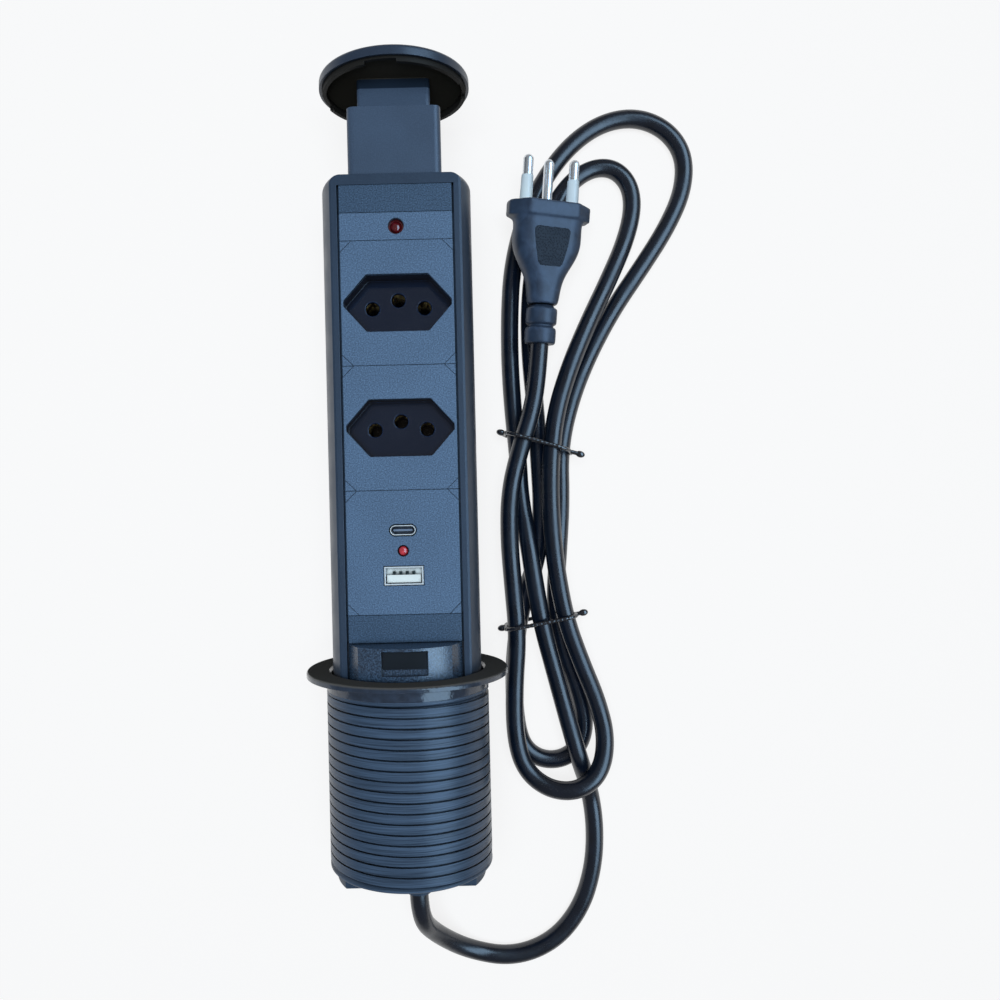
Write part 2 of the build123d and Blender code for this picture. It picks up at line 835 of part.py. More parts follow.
usb_a_tongue_y = usb_a_y - usb_a_tongue_drop
usb_a_base_depth = usb_a_base_share * usb_depth
with BuildPart() as usb_a_tongue:
    with BuildSketch(facing(board_top)):
        with Locations((0, usb_a_y)):
            Rectangle(
                usb_a_width - 2 * usb_a_wall - 2 * fit_gap, usb_a_height - 2 * usb_a_wall - 2 * fit_gap
            )
    extrude(amount=usb_a_base_depth)
    with BuildSketch(facing(board_top)):
        with Locations((0, usb_a_tongue_y)):
            Rectangle(usb_a_tongue_width, usb_a_tongue_height)
    extrude(amount=usb_depth - tongue_setback)
finish(usb_a_tongue, "usb_a_tongue")

with BuildPart() as usb_a_contacts:
    with BuildSketch(facing(board_top + usb_a_base_depth)):
        with Locations((0, usb_a_tongue_y + (usb_a_tongue_height + usb_a_contact_height) / 2)):
            with GridLocations(usb_a_contact_pitch, usb_a_contact_pitch, 4, 1):
                Rectangle(usb_a_contact_width, usb_a_contact_height)
    extrude(amount=usb_depth - usb_a_base_depth - tongue_setback)
finish(usb_a_contacts, "usb_a_contacts")

with BuildPart() as usb_board:
    with BuildSketch(facing(board_top)):
        with Locations((0, usb_middle)):
            Rectangle(board_width, board_height)
    extrude(amount=-board_thickness)
finish(usb_board, "usb_board")

board_back = board_top - board_thickness
with BuildPart() as transformer:
    with BuildSketch(facing(board_back)):
        with Locations((-transformer_width / 2, usb_middle + transformer_height / 2)):
            Rectangle(transformer_width, transformer_height)
    extrude(amount=-transformer_depth)
    chamfer(transformer.edges().filter_by(Axis.Z), transformer_bevel)
finish(transformer, "transformer")

with BuildPart() as capacitor:
    with BuildSketch(facing(board_back)):
        with Locations((capacitor_radius * 2, usb_middle - capacitor_radius)):
            Circle(capacitor_radius)
    extrude(amount=-capacitor_length)
finish(capacitor, "capacitor")

# Latch block: carries the round outline of the tower across the front, below the modules
latch_corner_z = sqrt(tower_radius**2 - latch_face_half**2)
cavity_half = latch_face_half - latch_wall
cavity_radius = tower_radius - latch_wall
cavity_high = latch_top - latch_top_wall
cavity_low = latch_bottom + latch_wall
window_high = latch_top - latch_window_drop
latch_window_width = button_width + 2 * latch_window_margin
latch_window_height = button_height + latch_window_ledge
window_middle = window_high - latch_window_height / 2
button_middle = window_high - seat_gap - slide_gap / 2 - button_height / 2
button_plate_low = cavity_low + button_plate_rise
catch_middle = button_plate_low + catch_height
with BuildPart() as latch_block:
    with BuildSketch(across(latch_top)):
        with BuildLine():
            Polyline(
                (-latch_face_half, latch_corner_z),
                (-module_width / 2, plate_front),
                (-module_width / 2, plate_back),
                (-frame_width / 2, plate_back),
                (-frame_width / 2, frame_back),
                (frame_width / 2, frame_back),
                (frame_width / 2, plate_back),
                (module_width / 2, plate_back),
                (module_width / 2, plate_front),
                (latch_face_half, latch_corner_z),
            )
            ThreePointArc(
                (latch_face_half, latch_corner_z), (0, tower_radius), (-latch_face_half, latch_corner_z)
            )
        make_face()
    extrude(amount=latch_length)
    with BuildSketch(across(latch_top - latch_top_wall)):
        Circle(cavity_radius)
        with Locations((0, frame_back - overrun)):
            Rectangle(
                2 * cavity_half, 2 * cavity_radius, align=(Align.CENTER, Align.MIN), mode=Mode.INTERSECT
            )
    extrude(amount=latch_length - latch_top_wall - latch_wall, mode=Mode.SUBTRACT)
    with BuildSketch(facing(tower_radius + overrun)):
        with Locations((0, window_middle)):
            Rectangle(latch_window_width, latch_window_height)
    extrude(amount=-(latch_window_depth + overrun), mode=Mode.SUBTRACT)
    with BuildSketch(facing(tower_radius + overrun)):
        with Locations((0, button_middle)):
            Rectangle(button_width + slide_gap, button_height + slide_gap)
        with Locations((0, catch_middle)):
            Rectangle(catch_width + slide_gap, catch_height + slide_gap)
    extrude(amount=-(2 * latch_wall + 2 * overrun), mode=Mode.SUBTRACT)
finish(latch_block, "latch_block")

# Spring seat: a plate that closes the back of the latch block
seat_top = spring_seat_level + spring_seat_thickness
with BuildPart() as spring_seat:
    with BuildSketch(facing(spring_seat_level)):
        with Locations((0, (cavity_high + cavity_low) / 2)):
            Rectangle(2 * cavity_half - 2 * fit_gap, cavity_high - cavity_low - 2 * fit_gap)
    extrude(amount=spring_seat_thickness)
    with BuildSketch(facing(seat_top)):
        with Locations((0, button_middle)):
            Circle(button_post_radius)
    extrude(amount=button_post_length - slide_gap)
finish(spring_seat, "spring_seat")

# Release button: a pad in the window, a plate behind the wall and a catch below the pad
button_front = tower_radius - button_setback
button_plate_width = button_width + 2 * button_plate_lip
button_plate_top = sqrt(cavity_radius**2 - (button_plate_width / 2) ** 2) - slide_gap
button_back = button_plate_top - button_plate_thickness
button_plate_high = cavity_high - slide_gap
with BuildPart() as release_button:
    with BuildSketch(facing(button_plate_top)):
        with Locations((0, (button_plate_high + button_plate_low) / 2)):
            Rectangle(button_plate_width, button_plate_high - button_plate_low)
    extrude(amount=-button_plate_thickness)
    with BuildSketch(facing(button_plate_top)):
        with Locations((0, button_middle)):
            Rectangle(button_width, button_height)
    extrude(amount=button_front - button_plate_top)
    with BuildSketch(facing(button_plate_top)):
        with Locations((0, catch_middle)):
            Rectangle(catch_width, catch_height)
    extrude(amount=tower_radius - button_plate_top)
    with BuildSketch(facing(button_back)):
        with Locations((0, button_middle)):
            Circle(button_post_radius)
    extrude(amount=-button_post_length)
finish(release_button, "release_button")


def coil_spring(name, base, radius, wire, height, turns):
    """An open coil spring whose wire is one helix, standing on the plane base."""
    rise = height - 2 * wire - 2 * fit_gap
    foot = base.origin + base.z_dir * (wire + fit_gap)
    with BuildPart() as piece:
        with BuildLine():
            coil = Helix(rise / turns, rise, radius, center=foot, direction=base.z_dir)
        with BuildSketch(Plane(origin=coil @ 0, z_dir=coil % 0)):
            Circle(wire)
        sweep(path=coil, is_frenet=True)
    finish(piece, name)


coil_spring(
    "button_spring",
    Plane(origin=(0, button_middle, seat_top), z_dir=(0, 0, 1)),
    button_spring_radius,
    button_spring_wire,
    button_back - seat_top,
    button_spring_turns,
)


def block_section(width, depth, rounding):
    """A rounded rectangle about the neck's middle line."""
    with Locations((0, neck_middle)):
        RectangleRounded(width, depth, rounding)


# Neck: the housing in which the cap's stem slides
pocket_width = stem_width + 2 * stem_lip + 2 * slide_gap
pocket_depth = stem_depth + 2 * stem_lip + 2 * slide_gap
neck_width = pocket_width + 2 * neck_side_wall
neck_depth = pocket_depth + 2 * neck_front_wall
pocket_bottom = tower_top + neck_floor
mouth_bottom = neck_top - neck_mouth_height
with BuildPart() as neck_housing:
    with BuildSketch(across(neck_top)):
        block_section(neck_width, neck_depth, neck_rounding)
    extrude(amount=neck_height)
    with BuildSketch(across(tower_top)):
        block_section(neck_hole_width - 2 * seat_gap, neck_hole_depth - 2 * seat_gap, stem_rounding)
    extrude(amount=head_thickness)
    with BuildSketch(across(mouth_bottom)):
        block_section(pocket_width, pocket_depth, stem_rounding)
    extrude(amount=mouth_bottom - pocket_bottom, mode=Mode.SUBTRACT)
    with BuildSketch(across(neck_top + overrun)):
        block_section(stem_width + 2 * seat_gap, stem_depth + 2 * seat_gap, stem_rounding)
    extrude(amount=neck_mouth_height + 2 * overrun, mode=Mode.SUBTRACT)
finish(neck_housing, "neck_housing")

# Cap stem: slides in the neck, kept in by its lip, with a disc under the cap's roof
stem_bottom = mouth_bottom - seat_gap - stem_lip_height
skirt_radius = cap_radius - cap_rim_wall - fit_gap
skirt_inner = skirt_radius - skirt_wall
with BuildPart() as cap_stem:
    with BuildSketch(across(roof_level)):
        Circle(skirt_inner - fit_gap)
    extrude(amount=stem_disc_thickness)
    with BuildSketch(across(roof_level)):
        block_section(stem_width, stem_depth, stem_rounding)
    extrude(amount=roof_level - stem_bottom)
    with BuildSketch(across(stem_bottom + stem_lip_height)):
        block_section(stem_width + 2 * stem_lip, stem_depth + 2 * stem_lip, stem_rounding)
    extrude(amount=stem_lip_height)
    with BuildSketch(across(stem_bottom + stem_lip_height + stem_disc_thickness)):
        with Locations((0, neck_middle)):
            Circle(cap_spring_pocket)
    extrude(amount=stem_lip_height + stem_disc_thickness + overrun, mode=Mode.SUBTRACT)
finish(cap_stem, "cap_stem")

spring_top = stem_bottom + stem_lip_height + stem_disc_thickness
coil_spring(
    "cap_spring",
    Plane(origin=(0, pocket_bottom, neck_middle), z_dir=(0, 1, 0)),
    cap_spring_radius,
    cap_spring_wire,
    spring_top - pocket_bottom,
    cap_spring_turns,
)

# Cap: a round lid with a rounded rim, and a notched ring clipped into its underside
with BuildPart() as cap:
    with BuildSketch(across(cap_top)):
        Circle(cap_radius)
    extrude(amount=cap_thickness)
    fillet(cap.edges().group_by(Axis.Y)[-1], cap_rounding)
    with BuildSketch(across(cap_underside - overrun)):
        Circle(cap_radius - cap_rim_wall)
    extrude(amount=-(roof_level - cap_underside + overrun), mode=Mode.SUBTRACT)
finish(cap, "cap")

skirt_bottom = cap_underside - skirt_drop
with BuildPart() as cap_skirt:
    with BuildSketch(across(roof_level)):
        Circle(skirt_radius)
        Circle(skirt_inner, mode=Mode.SUBTRACT)
    extrude(amount=roof_level - skirt_bottom)
    with BuildSketch(across(skirt_bottom + skirt_notch_depth)):
        with PolarLocations(skirt_radius, skirt_notches, start_angle=skirt_notch_turn):
            Rectangle(4 * skirt_wall, skirt_notch_width)
    extrude(amount=skirt_notch_depth + overrun, mode=Mode.SUBTRACT)
finish(cap_skirt, "cap_skirt")

# Plug: its own plane, with local z along the pins, local x across them and local y out of the face
plug_direction = Vector(
    sin(radians(plug_lean)) * cos(radians(plug_pitch)),
    cos(radians(plug_lean)) * cos(radians(plug_pitch)),
    sin(radians(plug_pitch)),
)
plug_across = Vector(cos(radians(plug_lean)), -sin(radians(plug_lean)), 0)
plug_up = plug_across.cross(plug_direction)
plug_side = plug_across * cos(radians(plug_roll)) - plug_up * sin(radians(plug_roll))
plug_middle = Vector(plug_x, plug_y, plug_z)


def plug_plane(distance):
    """A plane square to the plug, at a distance from the middle of its face plate."""
    return Plane(origin=plug_middle + plug_direction * distance, x_dir=plug_side, z_dir=plug_direction)


plate_half = plug_face_thickness / 2
plug_outline = long_hexagon(
    plug_face_width, plug_face_height, plug_face_flat, plug_face_tip, plug_face_rounding
)
pin_places = {
    "live": (-pin_pitch / 2, 0.0),
    "neutral": (pin_pitch / 2, 0.0),
}
with BuildPart() as plug_body:
    with BuildSketch(plug_plane(-plate_half)):
        add(plug_outline)
    extrude(amount=plug_face_thickness)
    body_shares = zip(plug_body_lengths_share, plug_body_widths_share, plug_body_heights_share)
    for length_share, width_share, height_share in body_shares:
        with BuildSketch(plug_plane(-plate_half - length_share * plug_body_length)):
            body_height = height_share * plug_face_height
            body_rounding = body_height * plug_body_rounding_share
            RectangleRounded(width_share * plug_face_width, body_height, body_rounding)
    loft()
    for place in pin_places.values():
        with BuildSketch(plug_plane(plate_half + overrun)):
            with Locations(place):
                Circle(sleeve_base_radius + fit_gap)
        extrude(amount=-(sleeve_root + overrun), mode=Mode.SUBTRACT)
        with BuildSketch(plug_plane(plate_half)):
            with Locations(place):
                Circle(plug_pin_root_radius + fit_gap)
        extrude(amount=-plug_pin_root, mode=Mode.SUBTRACT)
    with BuildSketch(plug_plane(plate_half + overrun)):
        with Locations((0, earth_offset)):
            Circle(plug_pin_root_radius + fit_gap)
    extrude(amount=-(plug_pin_root + overrun), mode=Mode.SUBTRACT)
finish(plug_body, "plug_body")


def plug_pins(name, places, covered):
    """Round pins with rounded tips, thinner at the root and as far as their sleeves cover them."""
    with BuildPart() as piece:
        for place in places:
            with BuildSketch(plug_plane(plate_half - plug_pin_root + fit_gap)):
                with Locations(place):
                    Circle(plug_pin_root_radius)
            extrude(amount=plug_pin_root - fit_gap + covered)
            with BuildSketch(plug_plane(plate_half + covered)):
                with Locations(place):
                    Circle(plug_pin_radius)
            extrude(amount=plug_pin_length - covered - plug_pin_radius)
            tip = plug_plane(plate_half + plug_pin_length - plug_pin_radius)
            tip_point = tip.from_local_coords((place[0], place[1], 0))
            with Locations(tip_point):
                Sphere(plug_pin_radius)
    finish(piece, name)


plug_pins("plug_pins", list(pin_places.values()), sleeve_cover_length)
plug_pins("plug_earth_pin", [(0, earth_offset)], 0)

with BuildPart() as pin_sleeves:
    for place in pin_places.values():
        with BuildSketch(plug_plane(plate_half - sleeve_root + fit_gap)):
            with Locations(place):
                Circle(sleeve_base_radius)
        with BuildSketch(plug_plane(plate_half + sleeve_cover_length)):
            with Locations(place):
                Circle(sleeve_tip_radius)
        loft()
        with BuildSketch(plug_plane(plate_half - sleeve_root)):
            with Locations(place):
                Circle(plug_pin_root_radius + fit_gap)
        extrude(amount=sleeve_root + sleeve_cover_length + overrun, mode=Mode.SUBTRACT)
finish(pin_sleeves, "pin_sleeves")

# Strain relief: a soft sleeve cut into rings, round the cord where it enters the plug
relief_start = -plate_half - plug_body_length
relief_length = relief_rings * (relief_ring_length + relief_slot)
with BuildPart() as plug_strain_relief:
    with BuildSketch(plug_plane(relief_start)):
        Circle(relief_core_radius)
    extrude(amount=-relief_length)
    for ring in range(relief_rings):
        ring_start = relief_start - relief_slot - ring * (relief_ring_length + relief_slot)
        with BuildSketch(plug_plane(ring_start)):
            Circle(relief_ring_radius)
        extrude(amount=-relief_ring_length)
finish(plug_strain_relief, "plug_strain_relief")

# Cord: a short lead out of the gland, then the hank that lies beside the tower
relief_end = plug_middle + plug_direction * (relief_start - relief_length)
last_corner = relief_end - plug_direction * last_run
joint_point = (Vector(*join_route[0]) + Vector(*join_route[1])) * 0.5
lead_points = [Vector(*point) for point in lead_route] + [joint_point]
hank_points = [joint_point] + [Vector(*point) for point in hank_route] + [last_corner, relief_end]


def corner_radii(points):
    """The radius of each bend: most of the shorter run on either side of it."""
    radii = []
    for before, corner, after in zip(points, points[1:], points[2:]):
        turn = (corner - before).get_angle(after - corner)
        run = min((corner - before).length, (after - corner).length)
        radii.append(bend_share * run / tan(radians(turn) / 2))
    return radii


def cord_piece(name, points):
    """A length of cord along its route, with its ends square."""
    radii = corner_radii(points)
    with BuildPart() as piece:
        with BuildLine():
            line = FilletPolyline(*points, radius=radii)
        with BuildSketch(Plane(origin=line @ 0, z_dir=line % 0)):
            Circle(cord_radius)
        sweep(path=line)
    finish(piece, name)
    tube = pi * cord_radius**2 * line.length
    print(name, "bend radii", [round(radius, 1) for radius in radii])
    print(name, "length", round(line.length, 1), "least radius", round(min(radii), 1))
    print(name, "volume over section times length", round(piece.part.volume / tube, 4))
    return line


def least_gap(line):
    """The least gap between stretches of a cord that aren't neighbours along it."""
    count = int(line.length / (cord_radius / 3))
    points = [line @ (step / count) for step in range(count + 1)]
    apart = int(8 * cord_radius / (line.length / count))
    gap = line.length
    for first in range(count + 1 - apart):
        for second in range(first + apart, count + 1):
            reach = points[first] - points[second]
            if abs(reach.X) < gap + 2 * cord_radius and abs(reach.Y) < gap + 2 * cord_radius:
                gap = min(gap, reach.length - 2 * cord_radius)
    return gap


lead_line = cord_piece("cord_lead", lead_points)
hank_line = cord_piece("cord_hank", hank_points)
cord_gap = least_gap(hank_line)
print("cord length", round(lead_line.length + hank_line.length, 1))
print("travel of the tower", round(tower_travel, 1), "and of the cap", cap_travel)
print("least gap of the hank to itself", round(cord_gap, 2), "above", least_cord_gap)


def tie(name, y, turn, bottom, top):
    """A thin band round the hank, with a knob at one end and a short tail at the other."""
    middle = (bottom[0] + bottom[1]) / 2
    lean = radians(turn)
    plane = Plane(origin=(middle, y, 0), x_dir=(cos(lean), sin(lean), 0), z_dir=(sin(lean), -cos(lean), 0))
    stretch = 1 / cos(lean)
    corners = [
        ((bottom[0] - middle) * stretch, tie_low),
        ((bottom[1] - middle) * stretch, tie_low),
        ((top[1] - middle) * stretch, tie_high),
        ((top[0] - middle) * stretch, tie_high),
    ]
    with BuildSketch() as band:
        with BuildLine():
            Polyline(*corners, close=True)
        make_face()
        fillet(band.vertices(), tie_rounding)
    with BuildSketch() as band_outside:
        add(band.sketch)
        offset(amount=tie_thickness, kind=Kind.ARC)
    with BuildPart() as piece:
        with BuildSketch(plane):
            add(band_outside.sketch)
            add(band.sketch, mode=Mode.SUBTRACT)
        extrude(amount=tie_width / 2, both=True)
        level = (tie_low + tie_high) / 2
        side = (bottom[0] + top[0]) / 2 - tie_thickness
        far_side = (bottom[1] + top[1]) / 2 + tie_thickness
        knob = plane.from_local_coords(((side - middle) * stretch, level, 0))
        tail = plane.from_local_coords(((far_side + tie_tail - middle) * stretch, level, 0))
        with Locations(knob, tail):
            Sphere(tie_knob_radius)
        tail_root = plane.from_local_coords(((far_side - tie_thickness / 2 - middle) * stretch, level, 0))
        with BuildSketch(Plane(origin=tail_root, z_dir=plane.x_dir)):
            Circle(tie_thickness)
        extrude(amount=tie_tail)
    finish(piece, name)


tie("cable_tie_upper", upper_tie_y, upper_tie_turn, upper_tie_bottom, upper_tie_top)
tie("cable_tie_lower", lower_tie_y, lower_tie_turn, lower_tie_bottom, lower_tie_top)
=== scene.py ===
"""Pop up desk socket: finishes, cord, ties, thread, springs and grip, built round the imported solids."""

from math import cos, pi, radians, sin

import bmesh
import bpy
from bpy.props import FloatProperty, FloatVectorProperty, IntProperty, PointerProperty
from mathutils import Matrix, Vector
from mathutils.bvhtree import BVHTree


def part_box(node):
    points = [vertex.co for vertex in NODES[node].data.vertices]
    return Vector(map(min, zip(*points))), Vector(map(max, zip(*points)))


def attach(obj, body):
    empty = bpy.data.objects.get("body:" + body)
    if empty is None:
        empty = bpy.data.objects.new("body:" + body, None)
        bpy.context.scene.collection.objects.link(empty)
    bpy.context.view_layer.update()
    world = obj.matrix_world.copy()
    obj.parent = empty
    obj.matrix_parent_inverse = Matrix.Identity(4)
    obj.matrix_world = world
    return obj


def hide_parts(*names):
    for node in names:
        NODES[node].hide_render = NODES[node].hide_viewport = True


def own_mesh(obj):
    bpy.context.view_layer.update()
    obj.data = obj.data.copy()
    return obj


bl_info = {
    "name": "Pop up desk socket",
    "version": (1, 0, 0),
    "blender": (4, 5, 0),
    "location": "View3D > Sidebar > Desk socket",
    "description": "Builds the finishes and the soft pieces of a pop up desk socket",
    "category": "Object",
}

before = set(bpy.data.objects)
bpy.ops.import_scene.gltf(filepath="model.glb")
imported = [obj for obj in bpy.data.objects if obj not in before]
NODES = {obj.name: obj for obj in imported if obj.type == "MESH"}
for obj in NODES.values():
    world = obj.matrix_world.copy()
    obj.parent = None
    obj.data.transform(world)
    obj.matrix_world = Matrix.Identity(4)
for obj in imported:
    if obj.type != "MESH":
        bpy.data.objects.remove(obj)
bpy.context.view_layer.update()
MM = 0.001
CREASE = radians(35.0)
# A skew direction, along which no two faces of a ball share a place
FACE_ORDER = Vector((1.0, 0.618, 0.377))

# The stage, in metres: solved from the photo, apart from the light
CAMERA_PLACE = (0.0116, 0.0632)
CAMERA_TURN = radians(-1.3466)
CAMERA_SHIFT = 0.065
FLOOR_REACH = 3
LAMP_AIM = (0.02, 0.06, 0.0)
SKY_SEEN = 0.94
FLOOR_GLOW = 0.82

# Where a colour changes along Y or Z of the part, in metres: the flange's upper face, painted lighter for the
# light that falls on it, the stem's painted shadow, its disc, and the painted shade deep in the bores
FLANGE_FACE = (0.0012, 0.0019)
STEM_SHADOW = (0.2113, 0.2115)
STEM_DISC = (0.2146, 0.2149)
BORE_DEPTH = (-0.010, 0.001)

# The ties' loops, in millimetres
TIE_LEVELS = (-35.6, -19.8)
TIE_LOWEST = -36.9
TIE_BEND = 4.4
TIE_STEP = 0.5

# The grip's patch: its middle and sizes in millimetres, its angles, and its mesh
GRIP_MIDDLE = (58.8, 175.1, -19.7)
GRIP_ANGLES = (4.8, 3.5, 12)
GRIP_HALF_WIDTHS = (7.2, 2.6)
GRIP_START, GRIP_LENGTH = -7.2, 14.6
GRIP_LIFT = 0.00012
GRIP_THICKNESS = 0.0006

# The cord's control points in millimetres: out of the gland, round the hank and into the plug
CORD_ROUTE = [
    (2, -86.6, -12), (2, -97, -12), (7.6, -109, -23.6), (21, -121, -33.4),
    (39, -124.5, -33.4), (56, -118.5, -33.4), (67.5, -105, -33.4), (73, -88, -33.4),
    (74, -71, -33.4), (72, -56, -33.4), (66.4, -40.5, -23.8), (62.5, -25, -25.4),
    (58, -6.5, -26.4), (53.5, 11, -24.6), (50.6, 28, -23.4), (48.6, 45, -24.8),
    (46.4, 62.5, -31.6), (45.8, 80, -31.6), (44.3, 98, -31.6), (43.5, 117, -32.6),
    (43.8, 137, -33.4), (45.3, 157, -33.4), (50.5, 177, -33.4), (59.5, 194, -33.4),
    (70.5, 207.5, -33.4), (83.5, 216, -33.4), (97.5, 218, -33.4), (110, 212.5, -33.4),
    (117, 201.5, -33.4), (116, 187, -33.4), (108.5, 171.5, -33.4), (98, 156, -33.4),
    (86.5, 140, -33.4), (76.5, 122.5, -33.4), (68, 103.5, -31.8), (62.8, 83, -31.6),
    (62.9, 61, -31.6), (61.2, 40, -31.6), (59.2, 20, -31.6), (62.5, 1, -32.6),
    (68, -14, -33.4), (71.2, -28.5, -33.4), (68.5, -38.8, -33.4), (61.4, -44, -33.4),
    (52.6, -44, -33.4), (45.5, -38.8, -33.4), (42.6, -28.5, -33.4), (42, -11, -33.4),
    (43.5, 7.5, -32), (47, 23.5, -31.8), (52.8, 38.5, -31.8), (55.1, 57, -31.6),
    (54.4, 78, -31.6), (53.4, 100, -31.8), (51.8, 121, -33.2), (52, 142, -33.4),
    (54.5, 161, -33.4), (60.5, 178, -33.4), (68.5, 190.5, -33.4), (78, 197.3, -33.4),
    (87.5, 197.5, -33.4), (94, 191, -33.4), (95.5, 181, -33.4), (92, 167.5, -33),
    (84.5, 151.5, -31), (74.5, 132.5, -26.5), (66, 114, -23.8), (60.2, 96, -23.8),
    (57.8, 76, -23.8), (57.6, 55, -23.8), (59.2, 34, -23.8), (62.6, 14, -23.8),
    (68.5, -3, -25), (74.5, -18, -26.2), (78, -33, -25.8), (74.8, -45.5, -20.8),
    (65.6, -52.5, -19.1), (54.2, -52.3, -21), (45, -45.5, -24.2), (41.5, -33, -25.6),
    (41.5, -13, -25.4), (43.3, 8, -24), (42, 27, -23.8), (40.7, 47, -23.6),
    (41.4, 66, -23.8), (46, 83, -23.8), (50.8, 97, -23.8), (53.34, 110.05, -23.69),
    (54.51, 123.98, -22.84),
]


# Settings: the sizes and colours that a user would change. The slate blues of the tower's plastics, the
# sleeve, the collar and the plug's rubber are partly their own near-black colour and partly a painted
# reflection of bluish light.


def length(name, text, value):
    """A length setting in metres."""
    return FloatProperty(name=name, description=text, default=value, unit="LENGTH", precision=5)


def power(name, text, value):
    """The power of a lamp in watts."""
    return FloatProperty(name=name, description=text, default=value, unit="POWER")


def shade(name, text, value):
    """A colour setting, as it is seen on a screen."""
    return FloatVectorProperty(
        name=name, description=text, default=value, subtype="COLOR_GAMMA", size=3, min=0.0, max=1.0
    )


def share(name, text, value):
    """A setting from 0 to 1."""
    return FloatProperty(name=name, description=text, default=value, subtype="FACTOR", min=0.0, max=1.0)


class StageSettings(bpy.types.PropertyGroup):
    """The camera, the floor and the lights."""

    camera_height: length("Camera height", "Height of the camera over the tower's axis", 0.315)
    focal_length: FloatProperty(
        name="Focal length", description="Focal length of the camera", default=30.636, unit="CAMERA"
    )
    floor_level: length("Floor level", "Height of the floor under the tower's axis", -0.037)
    floor_shade: shade("Floor", "Colour of the floor as the camera sees it", (0.99, 0.99, 0.99))
    bounce_shade: shade("Bounce", "Colour that the floor throws back on the object", (0.36, 0.35, 0.34))
    overhead_power: power("Overhead power", "Power of the lamp overhead", 9.0)
    window_power: power("Window power", "Power of the long lamp that gives the highlights", 18.0)
    lamp_shade: shade("Overhead colour", "Colour of the lamp overhead", (0.94, 0.97, 1.0))
    window_shade: shade("Window colour", "Colour of the long lamp", (0.72, 0.87, 1.0))
    mirrored_backdrop: share("Mirrored backdrop", "How much of the backdrop shiny parts show", 0.12)
    world_strength: share("World strength", "Strength of the light from all round", 0.10)


class CordSettings(bpy.types.PropertyGroup):
    """The mains cord and the ties round its hank."""

    diameter: length("Cord diameter", "Outside diameter of the cord", 0.0072)
    whole_length: length("Cord length", "Length of the cord from the gland to the plug", 1.47)
    jacket: shade("Jacket", "Colour of the cord's jacket", (0.04, 0.075, 0.13))
    tie_wire: length("Tie wire", "Diameter of the wire of a tie", 0.0016)
    tie_colour: shade("Tie", "Colour of the ties", (0.10, 0.11, 0.14))


class SleeveSettings(bpy.types.PropertyGroup):
    """The desk sleeve and its thread."""

    turns: IntProperty(name="Turns", description="Turns of the thread", default=17, min=1)
    pitch: length("Pitch", "Rise of the thread in one turn", 0.00357)
    crest_radius: length("Crest radius", "Radius at the crest of the thread", 0.02975)
    root_radius: length("Root radius", "Radius at the root of the thread", 0.0289)
    bore_radius: length("Bore radius", "Radius of the sleeve's bore", 0.0279)
    crest_width: length("Crest width", "Width of the thread's flat crest", 0.0021)
    root_width: length("Root width", "Width of the thread at its root", 0.0030)
    end_land: length("End land", "Length of the plain band at each end", 0.001)
    key_width: length("Key width", "Width of the rib inside the sleeve", 0.003)
    key_height: length("Key height", "Height of the rib inside the sleeve", 0.0013)
    ribbed: shade("Ribbed sleeve", "Colour of the threaded sleeve", (0.25, 0.325, 0.415))
    # The upper face's colour is painted light: lighter and more neutral than the collar for how light falls on
    # it
    upper_face: shade("Upper face", "Colour of the flange's dull upper face", (0.38, 0.38, 0.37))
    collar: shade("Collar", "Colour of the flange and its collar", (0.17, 0.22, 0.29))


class TowerSettings(bpy.types.PropertyGroup):
    """The tower, its modules and its cap."""

    grain: length("Grain", "Size of the moulded grain", 0.00045)
    edge: length("Edge", "Radius at which moulded edges look rounded", 0.00025)
    # The dark line at the seams is painted shade along the modules' edges
    seam: length("Seam", "Half the width of the dark line between two modules", 0.00035)
    module: shade("Modules", "Colour of the grained module plates", (0.335, 0.44, 0.56))
    strip: shade("Strips", "Colour of the blank strips", (0.24, 0.33, 0.43))
    shell: shade("Shell", "Colour of the tower's shell", (0.195, 0.26, 0.34))
    neck: shade("Neck", "Colour of the neck and the stem", (0.26, 0.33, 0.42))
    cap: shade("Cap", "Colour of the cap", (0.19, 0.24, 0.31))
    recess: shade("Recess", "Colour of the outlets' glossy cups", (0.05, 0.10, 0.18))
    latch: shade("Latch", "Colour of the latch block", (0.20, 0.28, 0.37))
    button: shade("Button", "Colour of the release button", (0.06, 0.09, 0.12))
    power_lens: shade("Power light", "Colour of the light over the outlets", (0.36, 0.06, 0.09))
    lens: shade("Charging light", "Colour of the light between the ports", (0.80, 0.24, 0.29))


class PlugSettings(bpy.types.PropertyGroup):
    """The plug and its grip."""

    rubber: shade("Rubber", "Colour of the plug's body", (0.215, 0.28, 0.37))
    cover: shade("Pin sleeves", "Colour of the sleeves on the pins", (0.87, 0.95, 1.0))
    fineness: length("Fineness", "Size of the voxels of the plug's rounded form", 0.0004)
    rounds: IntProperty(name="Rounds", description="Rounds of smoothing of the plug", default=30, min=0)
    dot_size: length("Dot size", "Radius of a dot of the grip", 0.00032)
    dot_gap: length("Dot gap", "Least distance between two dots of the grip", 0.00078)
    seed: IntProperty(name="Seed", description="Seed of the places of the dots", default=7)


class DeskSocketSettings(bpy.types.PropertyGroup):
    """All settings of the desk socket."""

    stage: PointerProperty(type=StageSettings)
    cord: PointerProperty(type=CordSettings)
    sleeve: PointerProperty(type=SleeveSettings)
    tower: PointerProperty(type=TowerSettings)
    plug: PointerProperty(type=PlugSettings)


# Materials


def linear(colour):
    """A screen colour as the linear colour that a shader takes, with alpha."""
    parts = [part / 12.92 if part <= 0.04045 else ((part + 0.055) / 1.055) ** 2.4 for part in colour]
    return (*parts, 1.0)


def maths(tree, operation, first, second):
    """The result of a sum on two values, each a number or a socket."""
    node = tree.nodes.new("ShaderNodeMath")
    node.operation = operation
    for socket, value in zip(node.inputs, (first, second)):
        if isinstance(value, (int, float)):
            socket.default_value = value
        else:
            tree.links.new(value, socket)
    return node.outputs[0]


